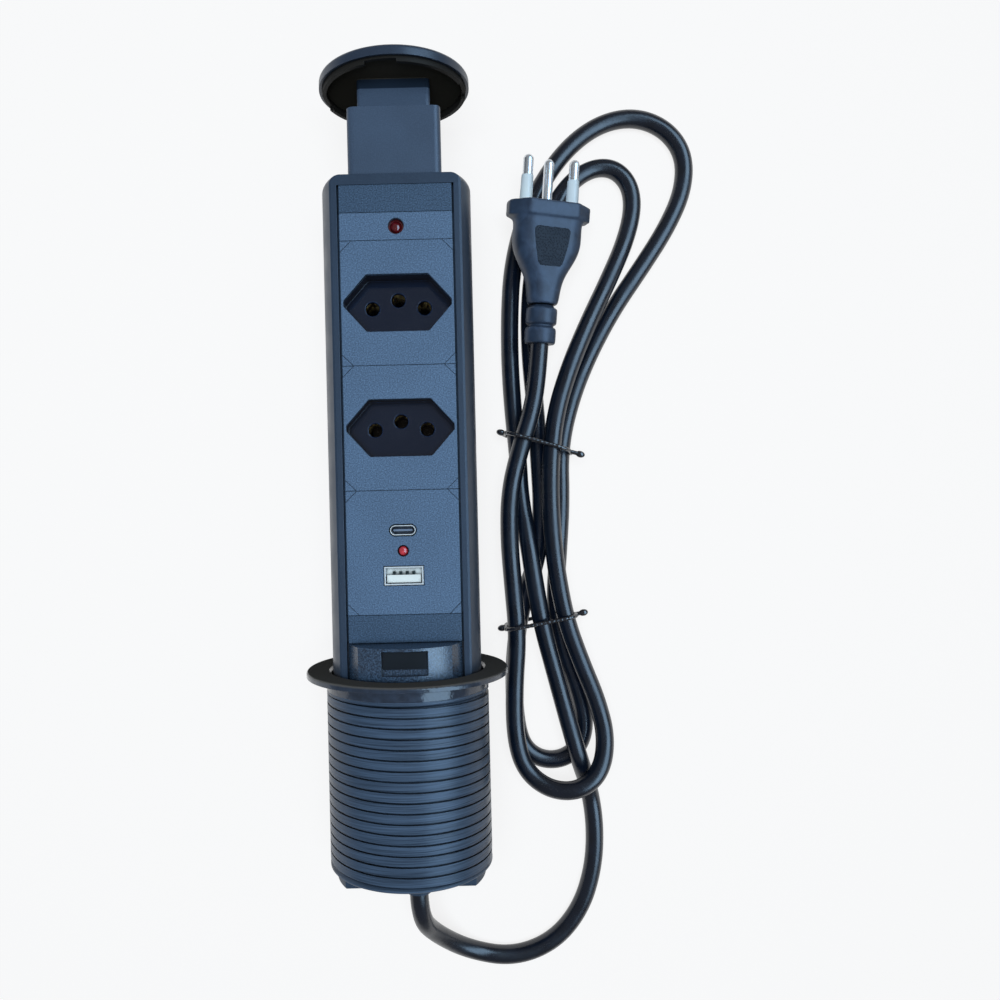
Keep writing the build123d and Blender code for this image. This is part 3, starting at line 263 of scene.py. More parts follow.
class Paint:
    """A procedural material that is put together node by node on Object coordinates."""

    def __init__(self, name):
        self.material = bpy.data.materials.new(name)
        self.material.use_nodes = True
        self.tree = self.material.node_tree
        self.shader = self.tree.nodes["Principled BSDF"]
        self.place = self.tree.nodes.new("ShaderNodeTexCoord").outputs["Object"]
        self.normal = None

    def node(self, kind, **values):
        node = self.tree.nodes.new(kind)
        for label, value in values.items():
            setattr(node, label, value)
        return node

    def link(self, source, target):
        self.tree.links.new(source, target)

    def set(self, **values):
        """Sets plain numbers and colours on the shader's own sockets."""
        for label, value in values.items():
            self.shader.inputs[label.replace("_", " ")].default_value = value
        return self

    def noise(self, size, detail=2.0, stretch=None, distortion=0.0):
        """Noise whose blotches are about size metres across."""
        noise = self.node("ShaderNodeTexNoise")
        noise.inputs["Scale"].default_value = 1.0 / size
        noise.inputs["Detail"].default_value = detail
        noise.inputs["Distortion"].default_value = distortion
        place = self.place
        if stretch:
            mapping = self.node("ShaderNodeMapping")
            mapping.inputs["Scale"].default_value = stretch
            self.link(place, mapping.inputs["Vector"])
            place = mapping.outputs["Vector"]
        self.link(place, noise.inputs["Vector"])
        return noise.outputs["Fac"]

    def span(self, value, low, high, start=0.3, end=0.7):
        """A value mapped from start and end to low and high."""
        span = self.node("ShaderNodeMapRange")
        for label, number in zip(("From Min", "From Max", "To Min", "To Max"), (start, end, low, high)):
            span.inputs[label].default_value = number
        self.link(value, span.inputs["Value"])
        return span.outputs["Result"]

    def mix(self, factor, first, second):
        """A colour between two, each a colour or a socket."""
        mix = self.node("ShaderNodeMix", data_type="RGBA")
        self.link(factor, mix.inputs["Factor"])
        for socket, value in ((mix.inputs[6], first), (mix.inputs[7], second)):
            if isinstance(value, tuple):
                socket.default_value = value
            else:
                self.link(value, socket)
        return mix.outputs[2]

    def crevice_shade(self, reach):
        """From 0 deep in a gap or a corner to 1 on an open face: where painted shade is laid."""
        open_sky = self.node("ShaderNodeAmbientOcclusion", samples=6)
        open_sky.inputs["Distance"].default_value = reach
        return self.span(open_sky.outputs["AO"], 0.0, 1.0, 0.25, 0.85)

    def painted_edge_mask(self):
        """From 0 on a face to 1 along an edge, where a painted highlight or a painted shade is laid; it
        follows soften.
        """
        true = self.node("ShaderNodeNewGeometry").outputs["Normal"]
        bend = self.node("ShaderNodeVectorMath", operation="DOT_PRODUCT")
        self.link(self.normal, bend.inputs[0])
        self.link(true, bend.inputs[1])
        return self.span(bend.outputs["Value"], 1.0, 0.0, 0.88, 0.985)

    def along(self, axis, start, end):
        """From 0 to 1 between two places on the part's own X, Y or Z, in metres."""
        parts = self.node("ShaderNodeSeparateXYZ")
        self.link(self.place, parts.inputs[0])
        return self.span(parts.outputs[axis], 0.0, 1.0, start, end)

    def mottle(self, value, colour, darker, lighter):
        """A colour that runs between a darker and a lighter tone of itself."""
        return self.mix(self.span(value, 0.0, 1.0), tone(colour, darker), tone(colour, lighter))

    def colour(self, value):
        self.link(value, self.shader.inputs["Base Color"])

    def roughness(self, value):
        self.link(value, self.shader.inputs["Roughness"])

    def soften(self, radius):
        """Edges that look rounded to a radius."""
        bevel = self.node("ShaderNodeBevel", samples=4)
        bevel.inputs["Radius"].default_value = radius
        self.normal = bevel.outputs["Normal"]
        self.link(self.normal, self.shader.inputs["Normal"])

    def bump(self, height, depth):
        """A relief of the given depth in metres."""
        bump = self.node("ShaderNodeBump")
        bump.inputs["Strength"].default_value = 1.0
        bump.inputs["Distance"].default_value = depth
        self.link(height, bump.inputs["Height"])
        if self.normal:
            self.link(self.normal, bump.inputs["Normal"])
        self.normal = bump.outputs["Normal"]
        self.link(self.normal, self.shader.inputs["Normal"])


def tone(colour, factor):
    """A linear colour made lighter or darker."""
    return (*[min(1.0, part * factor) for part in linear(colour)[:3]], 1.0)


def moulded(
    name, colour, roughness, grain=0.0, depth=0.0, speckle=0.0, edge=0.00025, gloss=0.35, rim=1.7
):
    """Moulded plastic: mottled, with a spark grain, edges of the tone rim (a painted highlight when rim is
    over 1, painted shade when it is under 1), and painted shade in its gaps.
    """
    paint = Paint(name)
    cloud = paint.noise(0.02, 3.0)
    base = paint.mottle(cloud, colour, 0.93, 1.07)
    paint.soften(edge)
    # Edges in the tone rim: a painted highlight when rim is over 1, painted shade when it is under 1
    base = paint.mix(paint.painted_edge_mask(), base, tone(colour, rim))
    if grain:
        crumb = paint.noise(grain, 3.0)
        base = paint.mix(paint.span(crumb, speckle, 0.0, 0.36, 0.5), base, tone(colour, 0.45))
        base = paint.mix(paint.span(crumb, 0.0, speckle, 0.5, 0.66), base, tone(colour, 1.9))
        paint.bump(crumb, depth)
    # Painted shade in gaps and corners, down to a tenth of the colour
    paint.colour(paint.mix(paint.crevice_shade(0.0018), tone(colour, 0.12), base))
    smear = paint.noise(0.009, 4.0)
    paint.roughness(paint.span(smear, roughness - 0.05, roughness + 0.06))
    return paint.set(Specular_IOR_Level=gloss).material


def metal(name, colour, roughness, metallic=1.0):
    """Metal with fine drawn lines and a little tarnish."""
    paint = Paint(name)
    tarnish = paint.noise(0.004, 4.0)
    paint.colour(paint.mix(paint.span(tarnish, 0.0, 1.0), tone(colour, 0.8), linear(colour)))
    paint.soften(0.0002)
    lines = paint.noise(0.0004, 2.0, stretch=(1.0, 0.08, 1.0))
    paint.bump(lines, 0.00001)
    paint.roughness(paint.span(lines, roughness - 0.06, roughness + 0.08))
    return paint.set(Metallic=metallic).material


def dress(material, *names):
    """Gives solids of the frame their finish."""
    for name in names:
        mesh = NODES[name].data
        mesh.materials.clear()
        mesh.materials.append(material)


# Shapes


def shown(name, mesh):
    """A new object that shows a mesh."""
    piece = bpy.data.objects.new(name, mesh)
    bpy.context.scene.collection.objects.link(piece)
    return piece


def evaluated(holder):
    """The mesh that an object's modifiers give; the object is removed."""
    bpy.context.view_layer.update()
    graph = bpy.context.evaluated_depsgraph_get()
    mesh = bpy.data.meshes.new_from_object(holder.evaluated_get(graph), depsgraph=graph)
    holder.modifiers.clear()
    bpy.data.objects.remove(holder)
    mesh.shade_smooth()
    return mesh


def rounded(name, node, fineness, rounds):
    """A copy of a solid with its edges rounded off, as moulded rubber has them."""
    holder = shown(name + "_base", NODES[node].data.copy())
    remesh = holder.modifiers.new("Remesh", "REMESH")
    remesh.mode = "VOXEL"
    remesh.voxel_size = fineness
    smooth = holder.modifiers.new("Smooth", "SMOOTH")
    smooth.factor = 0.5
    smooth.iterations = rounds
    return shown(name, evaluated(holder))


def from_bmesh(name, shape):
    """A closed mesh out of a bmesh, with faces outwards and smooth but for its creases."""
    bmesh.ops.remove_doubles(shape, verts=shape.verts, dist=0.000001)
    bmesh.ops.recalc_face_normals(shape, faces=shape.faces)
    mesh = bpy.data.meshes.new(name)
    shape.to_mesh(mesh)
    shape.free()
    mesh.shade_smooth()
    mesh.set_sharp_from_angle(angle=CREASE)
    return mesh


def skin(shape, rings, closed=False):
    """Faces from each ring of points to the next, and lids on an open run of rings."""
    pairs = list(zip(rings, rings[1:])) + ([(rings[-1], rings[0])] if closed else [])
    for ring, after in pairs:
        for corner in range(len(ring)):
            other = (corner + 1) % len(ring)
            shape.faces.new((ring[corner], after[corner], after[other], ring[other]))
    if not closed:
        shape.faces.new(rings[0])
        shape.faces.new(rings[-1])


def lathed(shape, profile, steps=128):
    """Turns a closed profile of (radius, y) once round the tower's axis."""
    rings = []
    for step in range(steps):
        turn = 2 * pi * step / steps
        rings.append([shape.verts.new((r * sin(turn), y, r * cos(turn))) for r, y in profile])
    skin(shape, rings, closed=True)


def block(shape, low, high):
    """A box between two corners."""
    size = [b - a for a, b in zip(low, high)]
    middle = [(a + b) / 2 for a, b in zip(low, high)]
    matrix = Matrix.Translation(middle) @ Matrix.Diagonal((*size, 1.0))
    bmesh.ops.create_cube(shape, size=1.0, matrix=matrix)


def ball(shape, middle, scale, turn=0.0):
    """A ball, stretched and turned about the upright axis.

    Blender puts its faces in another order each run, so they are sorted."""
    matrix = Matrix.Translation(middle) @ Matrix.Rotation(turn, 4, "Z") @ Matrix.Diagonal((*scale, 1.0))
    bmesh.ops.create_uvsphere(shape, u_segments=20, v_segments=12, radius=1.0, matrix=matrix)
    shape.faces.sort(key=lambda face: face.calc_center_median().dot(FACE_ORDER))


def tube(shape, points, radii, sides=14, closed=False):
    """A round bar along points, with its radius at each."""
    count = len(points)
    rings = []
    for index, point in enumerate(points):
        before = points[index - 1] if closed or index else point
        after = points[(index + 1) % count] if closed or index + 1 < count else point
        along = (after - before).normalized()
        up = Vector((0, 0, 1)) if abs(along.z) < 0.95 else Vector((1, 0, 0))
        side = along.cross(up).normalized()
        up = side.cross(along)
        ring = []
        for corner in range(sides):
            turn = 2 * pi * corner / sides
            ring.append(shape.verts.new(point + radii[index] * (cos(turn) * side + sin(turn) * up)))
        rings.append(ring)
    skin(shape, rings, closed)


class Growth:
    """A Geometry Nodes tree with named inputs, whose result becomes a plain mesh."""

    def __init__(self, name):
        self.name = name
        self.tree = bpy.data.node_groups.new(name, "GeometryNodeTree")
        self.tree.interface.new_socket("Geometry", in_out="INPUT", socket_type="NodeSocketGeometry")
        self.tree.interface.new_socket("Geometry", in_out="OUTPUT", socket_type="NodeSocketGeometry")
        self.start = self.tree.nodes.new("NodeGroupInput")
        self.end = self.tree.nodes.new("NodeGroupOutput")
        self.values = {}

    def input(self, label, kind, value):
        """A named input with its value; returns its socket inside the tree."""
        socket = self.tree.interface.new_socket(label, in_out="INPUT", socket_type=kind)
        self.values[socket.identifier] = value
        return self.start.outputs[label]

    def node(self, kind, links=(), values=(), **modes):
        """A node with its modes, its sockets linked and its plain values set."""
        node = self.tree.nodes.new(kind)
        for label, mode in modes.items():
            setattr(node, label, mode)
        for label, source in dict(links).items():
            self.tree.links.new(source, node.inputs[label])
        for label, value in dict(values).items():
            node.inputs[label].default_value = value
        return node

    def maths(self, operation, first, second):
        return maths(self.tree, operation, first, second)

    def placed(self, source, values):
        """Geometry that is moved, turned or scaled."""
        return self.node("GeometryNodeTransform", {"Geometry": source}, values).outputs[0]

    def join(self, *sources):
        node = self.tree.nodes.new("GeometryNodeJoinGeometry")
        for source in sources:
            self.tree.links.new(source, node.inputs[0])
        return node.outputs[0]

    def finished(self, source, base, material):
        """Ends the tree, grows it on a base mesh and returns the piece."""
        real = self.node("GeometryNodeRealizeInstances", {"Geometry": source})
        coat = self.node("GeometryNodeSetMaterial", {"Geometry": real.outputs[0]}, {"Material": material})
        self.tree.links.new(coat.outputs[0], self.end.inputs[0])
        holder = shown(self.name + "_base", base)
        modifier = holder.modifiers.new("Growth", "NODES")
        modifier.node_group = self.tree
        for identifier, value in self.values.items():
            modifier[identifier] = value
        mesh = evaluated(holder)
        mesh.set_sharp_from_angle(angle=CREASE)
        return shown(self.name, mesh)


def brightest(tree, seen, *rays):
    """The greatest of some light path values, as a socket."""
    for ray in rays:
        seen = maths(tree, "MAXIMUM", seen, ray)
    return seen


# Operators, one for each piece or group of like pieces


class DESKSOCKET_OT_stage(bpy.types.Operator):
    """Set up the camera, the pale floor and the soft lights"""

    bl_idname = "desksocket.stage"
    bl_label = "Stage"

    def execute(self, context):
        look = context.scene.desk_socket.stage
        self.camera(context, look)
        self.floor(look)
        overhead = self.lamp(
            "overhead_lamp", (-0.02, 0.12, 1.05), (0.6, 0.6), look.overhead_power, look.lamp_shade
        )
        overhead.visible_glossy = False
        window = self.lamp(
            "window_lamp", (0.70, 0.12, 0.78), (1.6, 0.75), look.window_power, look.window_shade
        )
        window.visible_diffuse = False
        self.sky(context, look)
        context.scene.view_settings.view_transform = "Standard"
        return {"FINISHED"}

    def sky(self, context, look):
        """A dim even light that the camera sees as a pale backdrop, and shiny parts in a weaker form."""
        world = bpy.data.worlds.new("Soft light")
        world.use_nodes = True
        tree = world.node_tree
        rays = tree.nodes.new("ShaderNodeLightPath")
        weaker = maths(tree, "MULTIPLY", rays.outputs["Is Glossy Ray"], look.mirrored_backdrop)
        direct = (rays.outputs["Is Camera Ray"], rays.outputs["Is Transmission Ray"])
        seen = brightest(tree, weaker, *direct)
        strength = tree.nodes.new("ShaderNodeMapRange")
        strength.inputs["To Min"].default_value = look.world_strength
        strength.inputs["To Max"].default_value = SKY_SEEN
        tree.links.new(seen, strength.inputs["Value"])
        tree.links.new(strength.outputs["Result"], tree.nodes["Background"].inputs["Strength"])
        tree.nodes["Background"].inputs["Color"].default_value = (1.0, 1.0, 1.0, 1.0)
        context.scene.world = world

    def camera(self, context, look):
        data = bpy.data.cameras.new("camera")
        data.sensor_width = 36.0
        data.lens = look.focal_length
        data.shift_x = CAMERA_SHIFT
        data.clip_start = 0.01
        camera = bpy.data.objects.new("camera", data)
        camera.location = (*CAMERA_PLACE, look.camera_height)
        camera.rotation_euler = (0.0, 0.0, CAMERA_TURN)
        context.scene.collection.objects.link(camera)
        context.scene.camera = camera

    def floor(self, look):
        shape = bmesh.new()
        signs = ((-1, -1), (1, -1), (1, 1), (-1, 1))
        corners = [(x * FLOOR_REACH, y * FLOOR_REACH, look.floor_level) for x, y in signs]
        shape.faces.new([shape.verts.new(corner) for corner in corners])
        mesh = bpy.data.meshes.new("floor")
        shape.to_mesh(mesh)
        shape.free()
        paint = Paint("Pale floor").set(Roughness=0.9)
        glow = paint.node("ShaderNodeEmission").outputs[0]
        rays = paint.node("ShaderNodeLightPath").outputs
        seen = brightest(paint.tree, rays["Is Camera Ray"], rays["Is Glossy Ray"], rays["Is Transmission Ray"])
        paint.colour(paint.mix(seen, linear(look.bounce_shade), linear(look.floor_shade)))
        mix = paint.node("ShaderNodeMixShader")
        part = maths(paint.tree, "MULTIPLY", seen, FLOOR_GLOW)
        for socket, source in zip(mix.inputs, (part, paint.shader.outputs[0], glow)):
            paint.link(source, socket)
        paint.link(mix.outputs[0], paint.tree.nodes["Material Output"].inputs["Surface"])
        mesh.materials.append(paint.material)
        shown("floor", mesh)

    def lamp(self, name, place, size, power, colour):
        data = bpy.data.lights.new(name, "AREA")
        data.shape = "RECTANGLE"
        data.size, data.size_y = size
        data.energy = power
        data.color = linear(colour)[:3]
        lamp = bpy.data.objects.new(name, data)
        aim = Vector(LAMP_AIM) - Vector(place)
        lamp.matrix_world = Matrix.Translation(place) @ aim.to_track_quat("-Z", "Y").to_matrix().to_4x4()
        bpy.context.scene.collection.objects.link(lamp)
        return lamp


class DESKSOCKET_OT_cord(bpy.types.Operator):
    """Lay the mains cord from the gland through its hank to the plug"""

    bl_idname = "desksocket.cord"
    bl_label = "Mains cord"

    def execute(self, context):
        look = context.scene.desk_socket.cord
        data = bpy.data.curves.new("mains_cord", "CURVE")
        data.dimensions = "3D"
        line = data.splines.new("NURBS")
        line.points.add(len(CORD_ROUTE) - 1)
        for point, (x, y, z) in zip(line.points, CORD_ROUTE):
            point.co = (x * MM, y * MM, z * MM, 1.0)
        line.order_u = 3
        line.use_endpoint_u = True
        line.use_smooth = True
        data.resolution_u = 10
        data.render_resolution_u = 10
        data.bevel_depth = look.diameter / 2
        data.bevel_resolution = 8
        data.use_fill_caps = True
        data.materials.append(self.jacket(look))
        cord = shown("mains_cord", data)
        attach(cord, "tower")
        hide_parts("cord_lead", "cord_hank")
        return {"FINISHED"}

    def jacket(self, look):
        paint = Paint("Cord jacket")
        film = paint.noise(0.006, 4.0)
        paint.colour(paint.mottle(film, look.jacket, 0.75, 1.25))
        paint.bump(paint.noise(0.0035, 3.0), 0.00006)
        paint.bump(paint.noise(0.0004, 2.0), 0.000006)
        paint.roughness(paint.span(paint.noise(0.011, 5.0), 0.22, 0.36))
        return paint.set(Specular_IOR_Level=0.7).material


def rounded_loop(corners, radius, steps=7):
    """A closed flat outline with rounded corners."""
    points = []
    for before, corner, after in zip(corners[-1:] + corners[:-1], corners, corners[1:] + corners[:1]):
        to_before, to_after = (before - corner).normalized(), (after - corner).normalized()
        half = to_before.angle(to_after) / 2
        reach = radius / sin(half) * cos(half)
        middle = corner + (to_before + to_after).normalized() * radius / sin(half)
        first, last = corner + to_before * reach - middle, corner + to_after * reach - middle
        for step in range(steps + 1):
            points.append(middle + first.slerp(last, step / steps).normalized() * radius)
    return points


def spread(points, gap):
    """Points at even steps along a closed line."""
    line = points + points[:1]
    result = [line[0]]
    left = gap
    for first, last in zip(line, line[1:]):
        run = (last - first).length
        at = left
        while at < run:
            result.append(first.lerp(last, at / run))
            at += gap
        left = at - run
    return result


class DESKSOCKET_OT_ties(bpy.types.Operator):
    """Bend the two wire ties round the hank"""

    bl_idname = "desksocket.ties"
    bl_label = "Hank ties"

    def execute(self, context):
        look = context.scene.desk_socket.cord
        material = self.coating(look)
        wire = look.tie_wire / 2 / MM
        for name, y, turn, bottom, top, node in (
            ("tie_loop_upper", 85.0, -17.0, (40.4, 68.2), (41.2, 63.7), "cable_tie_upper"),
            ("tie_loop_lower", 13.7, 10.0, (40.2, 64.6), (38.8, 66.8), "cable_tie_lower"),
        ):
            self.tie(name, material, wire, y, turn, bottom, top, node)
        return {"FINISHED"}

    def tie(self, name, material, wire, y, turn, bottom, top, node):
        """A loop round the hank at height y, turned across it, with a bead at each side."""
        low, high = TIE_LEVELS
        middle = (bottom[0] + bottom[1]) / 2
        corners = [
            Vector((bottom[0] - middle, 0, low)),
            Vector((bottom[1] - middle, 0, low)),
            Vector((top[1] - middle, 0, high)),
            Vector((top[0] - middle, 0, high)),
        ]
        lean = radians(turn)
        slope = sin(lean) / cos(lean)
        level = (low + high) / 2
        outwards = []
        for corner in corners:
            away = Vector((1 if corner.x > 0 else -1, 0, 1 if corner.z > level else -1))
            outwards.append(corner + away * wire * 0.7)
        points = []
        for point in spread(rounded_loop(outwards, TIE_BEND), TIE_STEP):
            z = max(point.z, TIE_LOWEST + wire)
            points.append(Vector((middle + point.x, y + point.x * slope, z)) * MM)
        shape = bmesh.new()
        radii = [wire * MM * (1.0 + 0.10 * sin(index * 1.9)) for index in range(len(points))]
        tube(shape, points, radii, closed=True)
        left, right = (bottom[0] + top[0]) / 2, (bottom[1] + top[1]) / 2
        knob = Vector((left - 2.0, y + (left - 2.0 - middle) * slope, level)) * MM
        ball(shape, knob, (1.9 * MM, 1.3 * MM, 1.3 * MM), lean)
        tail = []
        for reach in (0.0, 1.4, 2.6, 3.6):
            x = right + 0.6 + reach
            tail.append(Vector((x, y + (x - middle) * slope, level + 2.0)) * MM)
        tube(shape, tail, [wire * MM * 1.05] * len(tail))
        ball(shape, tail[-1], (1.9 * MM, 1.35 * MM, 1.2 * MM), lean)
        mesh = from_bmesh(name, shape)
        mesh.materials.append(material)
        piece = shown(name, mesh)
        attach(piece, "tower")
        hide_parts(node)

    def coating(self, look):
        paint = Paint("Tie coating")
        paint.colour(paint.mottle(paint.noise(0.002), look.tie_colour, 0.6, 1.5))
        paint.bump(paint.noise(0.0012, 2.0), 0.00012)
        paint.roughness(paint.span(paint.noise(0.003), 0.08, 0.24))
        return paint.set(Specular_IOR_Level=1.0).material


class DESKSOCKET_OT_sleeve(bpy.types.Operator):
    """Turn the desk sleeve with its thread, and finish the flange"""

    bl_idname = "desksocket.sleeve"
    bl_label = "Desk sleeve"

    def execute(self, context):
        look = context.scene.desk_socket.sleeve
        low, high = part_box("threaded_sleeve")
        ribbed = self.ribbed(look)
        thread = Growth("sleeve_thread")
        turns = thread.input("Turns", "NodeSocketInt", look.turns)
        pitch, root, crest, crest_width, root_width = (
            thread.input(label, "NodeSocketFloat", getattr(look, label.lower().replace(" ", "_")))
            for label in ("Pitch", "Root radius", "Crest radius", "Crest width", "Root width")
        )
        rise = thread.maths("MULTIPLY", turns, pitch)
        spiral = thread.node(
            "GeometryNodeCurveSpiral",
            {"Rotations": turns, "Start Radius": root, "End Radius": root, "Height": rise},
            {"Resolution": 128},
        )
        upright = thread.node("GeometryNodeSetCurveNormal", {"Curve": spiral.outputs[0]}, mode="Z_UP")
        height = thread.maths("MULTIPLY", thread.maths("SUBTRACT", crest, root), 2.0)
        profile = thread.node(
            "GeometryNodeCurvePrimitiveQuadrilateral",
            {"Bottom Width": root_width, "Top Width": crest_width, "Height": height},
            {"Offset": 0.0},
            mode="TRAPEZOID",
        )
        outward = thread.placed(profile.outputs[0], {"Rotation": (0.0, 0.0, radians(-90))})
        along = thread.node("GeometryNodeSplineParameter").outputs["Factor"]
        ends = thread.maths("MINIMUM", along, thread.maths("SUBTRACT", 1.0, along))
        taper = thread.maths("MINIMUM", thread.maths("MULTIPLY", ends, 60.0), 1.0)
        ridge = thread.node(
            "GeometryNodeCurveToMesh",
            {"Curve": upright.outputs[0], "Profile Curve": outward, "Scale": taper},
            {"Fill Caps": True},
        )
        start = (low.y + high.y) / 2 - look.turns * look.pitch / 2
        turned = thread.placed(ridge.outputs[0], {"Rotation": (0.0, 0.0, radians(90))})
        laid = thread.placed(
            turned, {"Rotation": (radians(-90), 0.0, 0.0), "Translation": (0.0, start, 0.0)}
        )
        whole = thread.join(thread.start.outputs["Geometry"], laid)
        piece = thread.finished(whole, self.barrel(look, low, high), ribbed)
        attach(piece, "sleeve")
        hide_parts("threaded_sleeve")
        dress(self.collar(look), "flange_ring")
        return {"FINISHED"}

    def ribbed(self, look):
        """Turned plastic with fine rings, and painted shade between the turns of the thread."""
        paint = Paint("Ribbed sleeve")
        rings = paint.noise(0.0006, 3.0, stretch=(0.03, 1.8, 0.03))
        tint = paint.mottle(rings, look.ribbed, 0.5, 1.5)
        paint.soften(0.0003)
        paint.bump(rings, 0.00003)
        # Painted shade in the grooves between the turns
        paint.colour(paint.mix(paint.crevice_shade(0.0024), tone(look.ribbed, 0.05), tint))
        paint.roughness(paint.span(rings, 0.26, 0.42))
        return paint.set(Specular_IOR_Level=0.25).material

    def collar(self, look):
        """Polished plastic round the collar, and dull on the flange's upper face: one plastic painted two ways
        by how light falls, a lighter neutral grey on the upper face and slate blue with a painted blue
        reflection round the collar.
        """
        paint = Paint("Collar")
        film = paint.noise(0.0025, 3.0)
        upper = paint.along("Y", *FLANGE_FACE)
        slate = paint.mottle(film, look.collar, 0.8, 1.25)
        paint.soften(0.0003)
        paint.bump(film, 0.00012)
        # The upper face's lighter neutral grey is painted light, set apart from the collar's slate by height
        paint.colour(paint.mix(upper, slate, linear(look.upper_face)))
        paint.roughness(paint.span(film, 0.08, 0.22))
        paint.link(paint.span(upper, 0.6, 0.0, 0.0, 1.0), paint.shader.inputs["Specular IOR Level"])
        return paint.material

    def barrel(self, look, low, high):
        """The plain barrel under the thread, with a band at each end and the key inside."""
        shape = bmesh.new()
        root, crest, bore, land = look.root_radius, look.crest_radius, look.bore_radius, look.end_land
        step = crest - root
        lathed(shape, [
            (bore, low.y), (crest - 0.0003, low.y), (crest, low.y + 0.0003), (crest, low.y + land),
            (root, low.y + land + step), (root, high.y - land - step), (crest, high.y - land),
            (crest, high.y), (bore, high.y),
        ])
        half = look.key_width / 2
        block(shape, (-half, low.y, -bore - 0.0002), (half, high.y - 0.009, -bore + look.key_height))
        return from_bmesh("sleeve_barrel", shape)


class DESKSOCKET_OT_tower(bpy.types.Operator):
    """Finish the tower's shell, foot, gland, neck and cap"""

    bl_idname = "desksocket.tower"
    bl_label = "Tower, neck and cap"

    def execute(self, context):
        look = context.scene.desk_socket.tower
        shell = moulded("Tower shell", look.shell, 0.36, look.grain, 0.00001, 0.12, look.edge)
        neck = moulded("Neck", look.neck, 0.4, look.grain, 0.000012, 0.15, look.edge)
        cap = moulded("Cap", look.cap, 0.33, look.grain, 0.00001, 0.1, 0.0004)
        grey = (0.16, 0.16, 0.155)
        under = moulded("Cap underside", grey, 0.5, look.grain, 0.00001, 0.05, look.edge, 0.06)
        foot = moulded("Foot", look.shell, 0.45, look.grain, 0.00002, 0.1, look.edge)
        dress(shell, "tower_shell")
        dress(foot, "tower_foot", "cable_gland", "gland_nut")
        dress(neck, "neck_housing")
        dress(cap, "cap")
        dress(under, "cap_skirt")
        dress(self.stem(look), "cap_stem")
        dress(metal("Screw steel", (0.62, 0.64, 0.66), 0.3), "foot_screws")
        return {"FINISHED"}

    def stem(self, look):
        """The stem's plastic, with a painted shadow in navy where it nears the cap, and warm grey on its disc.
        """
        paint = Paint("Stem")
        crumb = paint.noise(look.grain, 3.0)
        slate = paint.mottle(crumb, look.neck, 0.9, 1.1)
        shadow = paint.along("Y", *STEM_SHADOW)
        disc = paint.along("Y", *STEM_DISC)
        # The navy band is a painted shadow cast by the cap
        navy = paint.mix(shadow, slate, linear((0.12, 0.17, 0.23)))
        paint.colour(paint.mix(disc, navy, linear((0.26, 0.255, 0.23))))
        paint.soften(look.edge)
        paint.bump(crumb, 0.00001)
        paint.roughness(paint.span(paint.noise(0.009, 4.0), 0.36, 0.46))
        paint.link(paint.span(shadow, 0.35, 0.0, 0.0, 1.0), paint.shader.inputs["Specular IOR Level"])
        return paint.material


class DESKSOCKET_OT_modules(bpy.types.Operator):
    """Finish the outlets, the blank strips and the charging module"""

    bl_idname = "desksocket.modules"
    bl_label = "Modules"

    def execute(self, context):
        look = context.scene.desk_socket.tower
        # Plates and strips darken to tone 0.06 along their edges: painted shade at the seams between modules
        plate = moulded("Grained plate", look.module, 0.46, look.grain, 0.00003, 0.5, look.seam, rim=0.06)
        strip = moulded("Blank strip", look.strip, 0.42, look.grain, 0.00004, 0.7, look.seam, rim=0.06)
        # The cups' edges in tone 7: a painted highlight along the rims of the holes and the tips
        cup = moulded("Outlet cup", look.recess, 0.12, 0.002, 0.000008, 0.0, look.edge, 0.7, 7.0)
        dress(plate, "outlet_frame_upper", "outlet_frame_lower", "outlet_panel_upper", "outlet_panel_lower")
        dress(plate, "usb_frame", "usb_panel", "led_strip")
        dress(strip, "blank_strip_top", "blank_strip_bottom")
        dress(cup, "outlet_socket_upper", "outlet_socket_lower")
        dress(self.brass(), "live_busbar", "neutral_busbar", "earth_busbar")
        steel = metal("Port steel", (0.90, 0.96, 1.0), 0.3, metallic=0.15)
        dress(steel, "usb_a_shell", "usb_c_shell")
        dress(moulded("Port tongue", (0.92, 0.98, 1.0), 0.4, edge=0.0001), "usb_a_tongue")
        dress(moulded("Port core", (0.46, 0.54, 0.64), 0.4, edge=0.0001), "usb_c_tongue")
        dress(moulded("Port contacts", (0.10, 0.16, 0.17), 0.35, 0.0004, 0.00001, 0.2), "usb_a_contacts")
        dress(self.lens("Dark red lens", look.power_lens), "power_led")
        dress(self.lens("Red lens", look.lens), "usb_led")
        return {"FINISHED"}

    def brass(self):
        """Drawn brass with bright streaks of painted glints, dark with painted shade deep in the bores."""
        paint = Paint("Brass")
        lines = paint.noise(0.0011, 2.0, stretch=(1.0, 1.0, 0.2))
        # Bright streaks: painted glints
        glint_streak = paint.span(lines, 0.0, 1.0, 0.44, 0.62)
        bright = paint.mix(glint_streak, linear((0.24, 0.18, 0.08)), linear((1.0, 0.92, 0.66)))
        # Painted shade, darkening the brass deep in the bores
        paint.colour(paint.mix(paint.along("Z", *BORE_DEPTH), linear((0.10, 0.07, 0.04)), bright))
        paint.roughness(paint.span(lines, 0.2, 0.35))
        return paint.set(Metallic=0.4).material

    def lens(self, name, colour):
        paint = Paint(name)
        depth = paint.noise(0.0016, 2.0)
        tint = paint.mottle(depth, colour, 0.7, 1.4)
        # Painted shade round the lens, deep in its seat
        paint.colour(paint.mix(paint.crevice_shade(0.0014), tone(colour, 0.08), tint))
        paint.bump(paint.noise(0.0012, 1.0), 0.00003)
        paint.roughness(paint.span(paint.noise(0.002, 1.0), 0.05, 0.14))
        return paint.set(Specular_IOR_Level=0.7, Coat_Weight=0.6, Coat_Roughness=0.05).material


